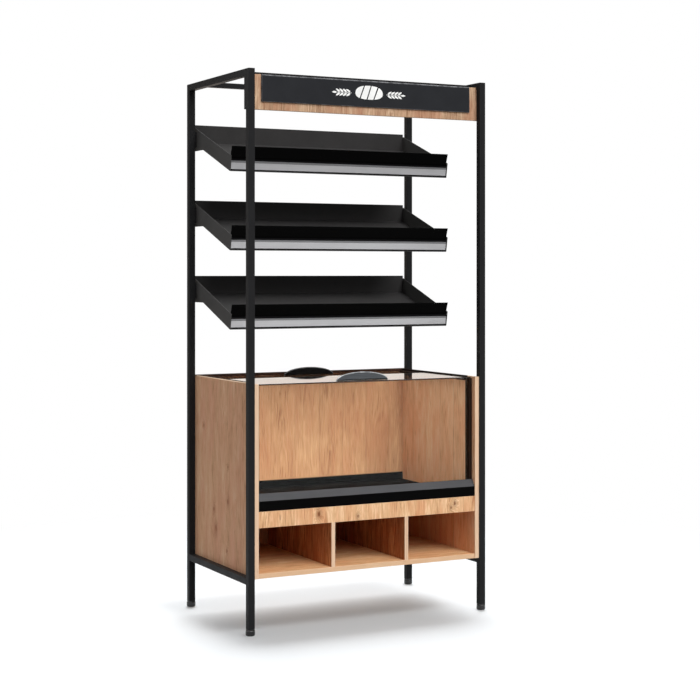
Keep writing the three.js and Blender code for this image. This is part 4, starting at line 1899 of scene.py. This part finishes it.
@dataclass
class Lids:
    """The two sliding lids with their tracks and handles, and two dark brown strips at the rear that are
    painted shade on the back panel's face.

    Attributes:
        inner: X of the side panels' inner faces.
        web: X of the tracks' webs.
        lip: X of the tracks' lips.
        track: Y of the tracks' ends.
        top: Height of the tracks' upper edges.
        seat: Height of the front lid's seat.
        slot: Heights of the rear lid's slot.
        foot: Height of the tracks' undersides.
        lid_end: X of the lids' ends.
        front_lid: Y and Z extents of the front lid.
        rear_lid: Y and Z extents of the rear lid.
        handle_reach: Half width and height of a handle.
        handle_thick: Thickness of a handle.
        front_handle: Y of the front handle's middle.
        rear_handle: Y of the rear handle's middle.
        stop: Lowest and highest corner of the dark brown strip at the rear, painted shade on the back
            panel above the lids.
        ledge: Lowest and highest corner of the wider painted-shade strip on top of it.
        cap: Lowest and highest corner of the strip over the back panel's top.
    """

    inner: float = 457.0
    web: float = 454.0
    lip: float = 442.0
    track: Pair = (-239.0, 282.0)
    top: float = 906.6
    seat: float = 897.7
    slot: Pair = (891.2, 895.8)
    foot: float = 888.2
    lid_end: float = 453.5
    front_lid: tuple[Pair, Pair] = ((-268.0, 48.0), (898.0, 902.0))
    rear_lid: tuple[Pair, Pair] = ((15.0, 281.5), (891.5, 895.5))
    handle_reach: Pair = (110.0, 31.5)
    handle_thick: float = 6.0
    front_handle: float = -225.0
    rear_handle: float = 237.5
    stop: Corners = (
        (-441.5, 279.0, 896.0), (441.5, 282.0, 897.9))
    ledge: Corners = (
        (-453.8, 279.0, 898.0), (453.8, 282.0, 903.9))
    cap: Corners = (
        (-475.0, 282.0, 904.0), (475.0, 300.0, 906.6))

    def build(self) -> None:
        """Makes every piece of the lids."""
        for side in Side:
            self.track_strip(side)
        lids = {Body.FRONT_LID: self.front_lid, Body.REAR_LID: self.rear_lid}
        handles = {Body.FRONT_LID: self.front_handle, Body.REAR_LID: self.rear_handle}
        for body, (across, up) in lids.items():
            outline = rectangle((across[0], up[0]), (across[1], up[1]), 0.8)
            sheet = carried(outline, Axis.X, -self.lid_end, self.lid_end, edge=0.8)
            y = sheet.points[:, 1]
            rim = 1.0
            sheet.edge = np.where(np.minimum(y - across[0], across[1] - y) < rim, 1.0, 0.0)
            make_piece(f"sheet_{body.value}", sheet, CLEAR_SHEET, body.value, [body.value])
            node = body.value.replace("lid", "handle")
            moon = self.handle(handles[body], up[1])
            # The front handle's slate grey is a painted reflection on the same black part.
            gloss = HANDLE_PAINTED_SHEEN if body is Body.FRONT_LID else HANDLE_BLACK
            make_piece(f"moon_{node}", moon, gloss, body.value, [node])
        # The two brown rear strips are painted shade on the back panel's face above the lids.
        strips = {
            "rear_stop_strip": (self.stop, SHADE_BROWN),
            "rear_ledge_strip": (self.ledge, SHADE_BROWN),
            "rear_cap_strip": (self.cap, TRACK_BLACK),
        }
        for name, ((low, high), finish) in strips.items():
            strip = carried(rectangle(low[1:], high[1:], 0.6), Axis.X, low[0], high[0], edge=0.6)
            make_piece(name, strip, finish, Body.RACK.value)

    def track_strip(self, side: Side) -> None:
        """The track along one side panel.

        Args:
            side: Left or right.
        """
        slot_foot, slot_top = self.slot
        corners = [
            (self.inner, self.foot), (self.inner, self.top), (self.web, self.top), (self.web, self.seat),
            (self.lip, self.seat), (self.lip, slot_top), (self.web, slot_top), (self.web, slot_foot),
            (self.lip, slot_foot), (self.lip, self.foot),
        ]
        placed = [(side.value * x, z) for x, z in corners]
        outline = rounded(placed, [0.4, 0.6, 0.6, 0.4, 0.6, 0.5, 0.3, 0.3, 0.5, 0.6])
        strip = carried(outline, Axis.Y, *self.track, edge=0.4)
        node = f"lid_track_{side.label}"
        make_piece(f"strip_{node}", strip, TRACK_BLACK, Body.RACK.value, [node])

    def handle(self, y: float, z: float) -> Surface:
        """An upright half-moon with a rounded rim.

        The rim is (a.cos(t), b.sin(t)) for t from 0 to half a turn, closed by a straight foot.

        Args:
            y: Y of its middle.
            z: Height of its foot.

        Returns:
            The closed surface.
        """
        half, high = self.handle_reach
        turn = np.linspace(0.0, np.pi, 97)
        rim = np.stack([half * np.cos(turn), z + high * np.sin(turn)], axis=1)
        heel = 2.0
        foot = np.array([[heel - half, z], [half - heel, z]])
        points = np.concatenate([rim, foot])
        edge = np.ones(len(points))
        edge[-2:] = 0.0
        thick = self.handle_thick / 2.0
        return carried(Outline(points, edge), Axis.Y, y - thick, y + thick, edge=2.6, steps=6)


@dataclass(frozen=True)
class Lamp:
    """A far soft light.

    Attributes:
        strength: Its strength.
        softness: Its width in degrees.
        source: Direction that the light comes from.
    """

    strength: float
    softness: float
    source: Place


@dataclass
class Studio:
    """The floor, lights, background and camera.

    Attributes:
        floor_reach: Half side of the floor in metres.
        floor_colour: Colour of the floor to the eye, 0 to 255.
        bounce_colour: Colour of the floor in the light that it throws back, 0 to 255.
        fade: Distances between which the floor turns into the white background, in metres.
        ambient: Strength of the light from all around.
        overhead: The overhead light on the rack.
        key: The front light on the rack.
        downlights: The lights on the floor alone.
        dark_card: Lowest and highest corner of the black card at the left, in metres.
        warm_card: Lowest and highest corner of the pale card at the rear, in metres.
        warm_colour: Colour of the pale card, 0 to 255.
        glow: Share of the floor's look that no shadow reaches.
        casters: First words of the names of the pieces that shade the floor's own lights.
        sensor: Width of the camera's sensor.
        lens: Focal length.
        shift: The camera's shift.
        eye: The camera's place in metres.
        heading: Its turn about the upright axis, in degrees.
    """

    floor_reach: float = 14.0
    floor_colour: Colour = (246, 250, 253)
    bounce_colour: Colour = (150, 150, 151)
    fade: Pair = (1.3, 2.6)
    ambient: float = 0.25
    overhead: Lamp = Lamp(strength=1.4, softness=58.0, source=(-0.1, 0.3, 1.0))
    key: Lamp = Lamp(strength=3.1, softness=45.0, source=(0.12, -0.75, 0.65))
    downlights: tuple[Lamp, ...] = (
        Lamp(strength=3.75, softness=38.7, source=(0.585, 1.2, 1.0)),
        Lamp(strength=0.9, softness=23.0, source=(0.46, -0.6, 1.0)),
    )
    dark_card: Corners = ((-1.0, 1.05, 0.0), (-1.0, 4.5, 2.6))
    warm_card: Corners = ((-0.95, 2.0, 0.0), (5.0, 2.0, 2.5))
    warm_colour: Colour = (244, 232, 223)
    glow: float = 0.15
    casters: tuple[str, ...] = ("oak_bottom", "band_bottom", "tube_bottom", "levelling_foot", "plug")
    sensor: float = 36.0
    lens: float = 82.44
    shift: Pair = (-0.01167, -0.11035)
    eye: Place = (-2.8157, -5.5807, 1.3064)
    heading: float = -27.59

    def build(self) -> None:
        """Sets up everything round the rack."""
        scene = bpy.context.scene
        scene.view_settings.view_transform = "Standard"
        floor = self.floor()
        self.world(scene)
        for name, lamp in {"overhead_light": self.overhead, "front_light": self.key}.items():
            self.light_only(self.put_up(name, lamp), floor, "EXCLUDE")
        for number, lamp in enumerate(self.downlights, start=1):
            self.light_only(self.put_up(f"floor_light_{number}", lamp), floor, "INCLUDE")
        self.card("black_card", self.dark_card, (0, 0, 0))
        self.card("pale_card", self.warm_card, self.warm_colour)
        self.camera(scene)

    def shade_floor(self) -> None:
        """Lets only the low pieces shade the floor's own lights."""
        group = bpy.data.collections.new("floor_light_casters")
        for piece in bpy.context.scene.objects:
            if piece.name.startswith(self.casters):
                group.objects.link(piece)
        for number in range(1, len(self.downlights) + 1):
            bpy.data.objects[f"floor_light_{number}"].light_linking.blocker_collection = group

    @staticmethod
    def light_only(light: bpy.types.Object, target: bpy.types.Object, state: str) -> None:
        """Keeps a light on one object, or off it.

        Args:
            light: The light.
            target: The object.
            state: INCLUDE to light only this object, EXCLUDE to light all but this.
        """
        group = bpy.data.collections.new(f"{light.name}_receivers")
        group.objects.link(target)
        light.light_linking.receiver_collection = group
        for entry in group.collection_objects:
            entry.light_linking.link_state = state

    @staticmethod
    def card(name: str, corners: Corners, colour: Colour) -> None:
        """An upright card that only gloss can see.

        Args:
            name: The card's name.
            corners: Its lowest and highest corner, in metres.
            colour: Its colour, 0 to 255.
        """
        (x0, y0, z0), (x1, y1, z1) = corners
        mesh = bpy.data.meshes.new(name)
        mesh.from_pydata([(x0, y0, z0), (x1, y1, z0), (x1, y1, z1), (x0, y0, z1)], [], [(0, 1, 2, 3)])
        graph = Graph(name)
        graph.shade(Base_Color=(0.0, 0.0, 0.0), Specular_IOR_Level=0.0,
                    Emission_Color=linear(*colour), Emission_Strength=1.0)
        mesh.materials.append(graph.material)
        card = bpy.data.objects.new(name, mesh)
        bpy.context.scene.collection.objects.link(card)
        card.visible_camera = False
        card.visible_diffuse = False
        card.visible_transmission = False
        card.visible_shadow = False

    def floor(self) -> bpy.types.Object:
        """A level floor that takes the shadow and fades into the white background.

        Returns:
            The floor, a grid of four by four squares.
        """
        cells = 4
        share = np.linspace(-1.0, 1.0, cells + 1) * self.floor_reach
        x, y = np.meshgrid(share, share, indexing="xy")
        points = np.stack([x, y, np.zeros_like(x)], axis=-1).reshape(-1, 3)
        row, column = np.meshgrid(np.arange(cells), np.arange(cells), indexing="ij")
        first = row * (cells + 1) + column
        above = first + cells + 1
        quads = np.stack([first, first + 1, above + 1, above], axis=-1).reshape(-1, 4)
        mesh = bpy.data.meshes.new("floor")
        mesh.from_pydata(points.tolist(), [], quads.tolist())
        mesh.materials.append(self.floor_material())
        floor = bpy.data.objects.new("floor", mesh)
        bpy.context.scene.collection.objects.link(floor)
        return floor

    def floor_material(self) -> bpy.types.Material:
        """Matt pale floor, white to the eye far from the rack.

        Returns:
            The floor's material.
        """
        graph = Graph("studio_floor")
        x, y, z = graph.object_place()
        square = graph.math("ADD", graph.math("POWER", x, 2.0), graph.math("POWER", y, 2.0))
        span = graph.math("SQRT", square)
        path = graph.node("ShaderNodeLightPath")
        seen = graph.math("MAXIMUM", path.outputs["Is Camera Ray"], path.outputs["Is Glossy Ray"])
        seen = graph.math("MAXIMUM", seen, path.outputs["Is Transmission Ray"])
        far = graph.math("MULTIPLY", graph.ramp(span, *self.fade, self.glow, 1.0), seen)
        speck = graph.noise(graph.vector(x, y, z), 60.0, detail=3.0)
        speck = graph.math("MULTIPLY", speck, 0.04)
        pale = graph.blend(speck, linear(*self.floor_colour), (0.6, 0.6, 0.6))
        graph.shade(
            Base_Color=graph.blend(seen, linear(*self.bounce_colour), pale),
            Roughness=0.9,
            Specular_IOR_Level=0.0,
        )
        glow = graph.node("ShaderNodeEmission")
        mix = graph.node("ShaderNodeMixShader")
        output = graph.tree.nodes["Material Output"]
        graph.put(mix.inputs[0], far)
        graph.tree.links.new(graph.shader.outputs[0], mix.inputs[1])
        graph.tree.links.new(glow.outputs[0], mix.inputs[2])
        graph.tree.links.new(mix.outputs[0], output.inputs["Surface"])
        return graph.material

    def world(self, scene: bpy.types.Scene) -> None:
        """White behind the rack, in gloss and through clear sheets, and soft light from all around.

        Args:
            scene: The scene.
        """
        world = bpy.data.worlds.new("studio")
        world.use_nodes = True
        nodes, links = world.node_tree.nodes, world.node_tree.links
        nodes.clear()
        path = nodes.new("ShaderNodeLightPath")
        seen = nodes.new("ShaderNodeMath")
        seen.operation = "MAXIMUM"
        through = nodes.new("ShaderNodeMath")
        through.operation = "MAXIMUM"
        light = nodes.new("ShaderNodeBackground")
        light.inputs["Strength"].default_value = self.ambient
        white = nodes.new("ShaderNodeBackground")
        for shader in (light, white):
            shader.inputs["Color"].default_value = (1.0, 1.0, 1.0, 1.0)
        mix = nodes.new("ShaderNodeMixShader")
        output = nodes.new("ShaderNodeOutputWorld")
        links.new(path.outputs["Is Camera Ray"], seen.inputs[0])
        links.new(path.outputs["Is Glossy Ray"], seen.inputs[1])
        links.new(seen.outputs[0], through.inputs[0])
        links.new(path.outputs["Is Transmission Ray"], through.inputs[1])
        links.new(through.outputs[0], mix.inputs[0])
        links.new(light.outputs[0], mix.inputs[1])
        links.new(white.outputs[0], mix.inputs[2])
        links.new(mix.outputs[0], output.inputs["Surface"])
        scene.world = world

    @staticmethod
    def put_up(name: str, lamp: Lamp) -> bpy.types.Object:
        """Puts up a far soft light, turned by acos(z) from straight down and towards its source.

        Args:
            name: The light's name.
            lamp: What it is like.

        Returns:
            The light.
        """
        data = bpy.data.lights.new(name, "SUN")
        data.energy = lamp.strength
        data.angle = math.radians(lamp.softness)
        light = bpy.data.objects.new(name, data)
        bpy.context.scene.collection.objects.link(light)
        x, y, z = np.array(lamp.source) / np.linalg.norm(lamp.source)
        light.rotation_euler = (math.acos(z), 0.0, math.atan2(x, -y))
        return light

    def camera(self, scene: bpy.types.Scene) -> None:
        """A level camera at the photograph's angle.

        Args:
            scene: The scene.
        """
        data = bpy.data.cameras.new("camera")
        data.sensor_width = self.sensor
        data.lens = self.lens
        data.shift_x, data.shift_y = self.shift
        camera = bpy.data.objects.new("camera", data)
        camera.location = self.eye
        camera.rotation_euler = (math.radians(90.0), 0.0, math.radians(self.heading))
        scene.collection.objects.link(camera)
        scene.camera = camera


def main() -> None:
    """Builds the studio and the rack, sub-assembly by sub-assembly."""
    logging.basicConfig(level=logging.INFO, format="%(message)s")
    studio = Studio()
    studio.build()
    Frame().build()
    Header().build()
    for number, base in enumerate(SHELF_BASES, start=1):
        Shelf(number, base).build()
    Carcass().build()
    Bin().build()
    Lids().build()
    studio.shade_floor()


if __name__ == "__main__":
    main()
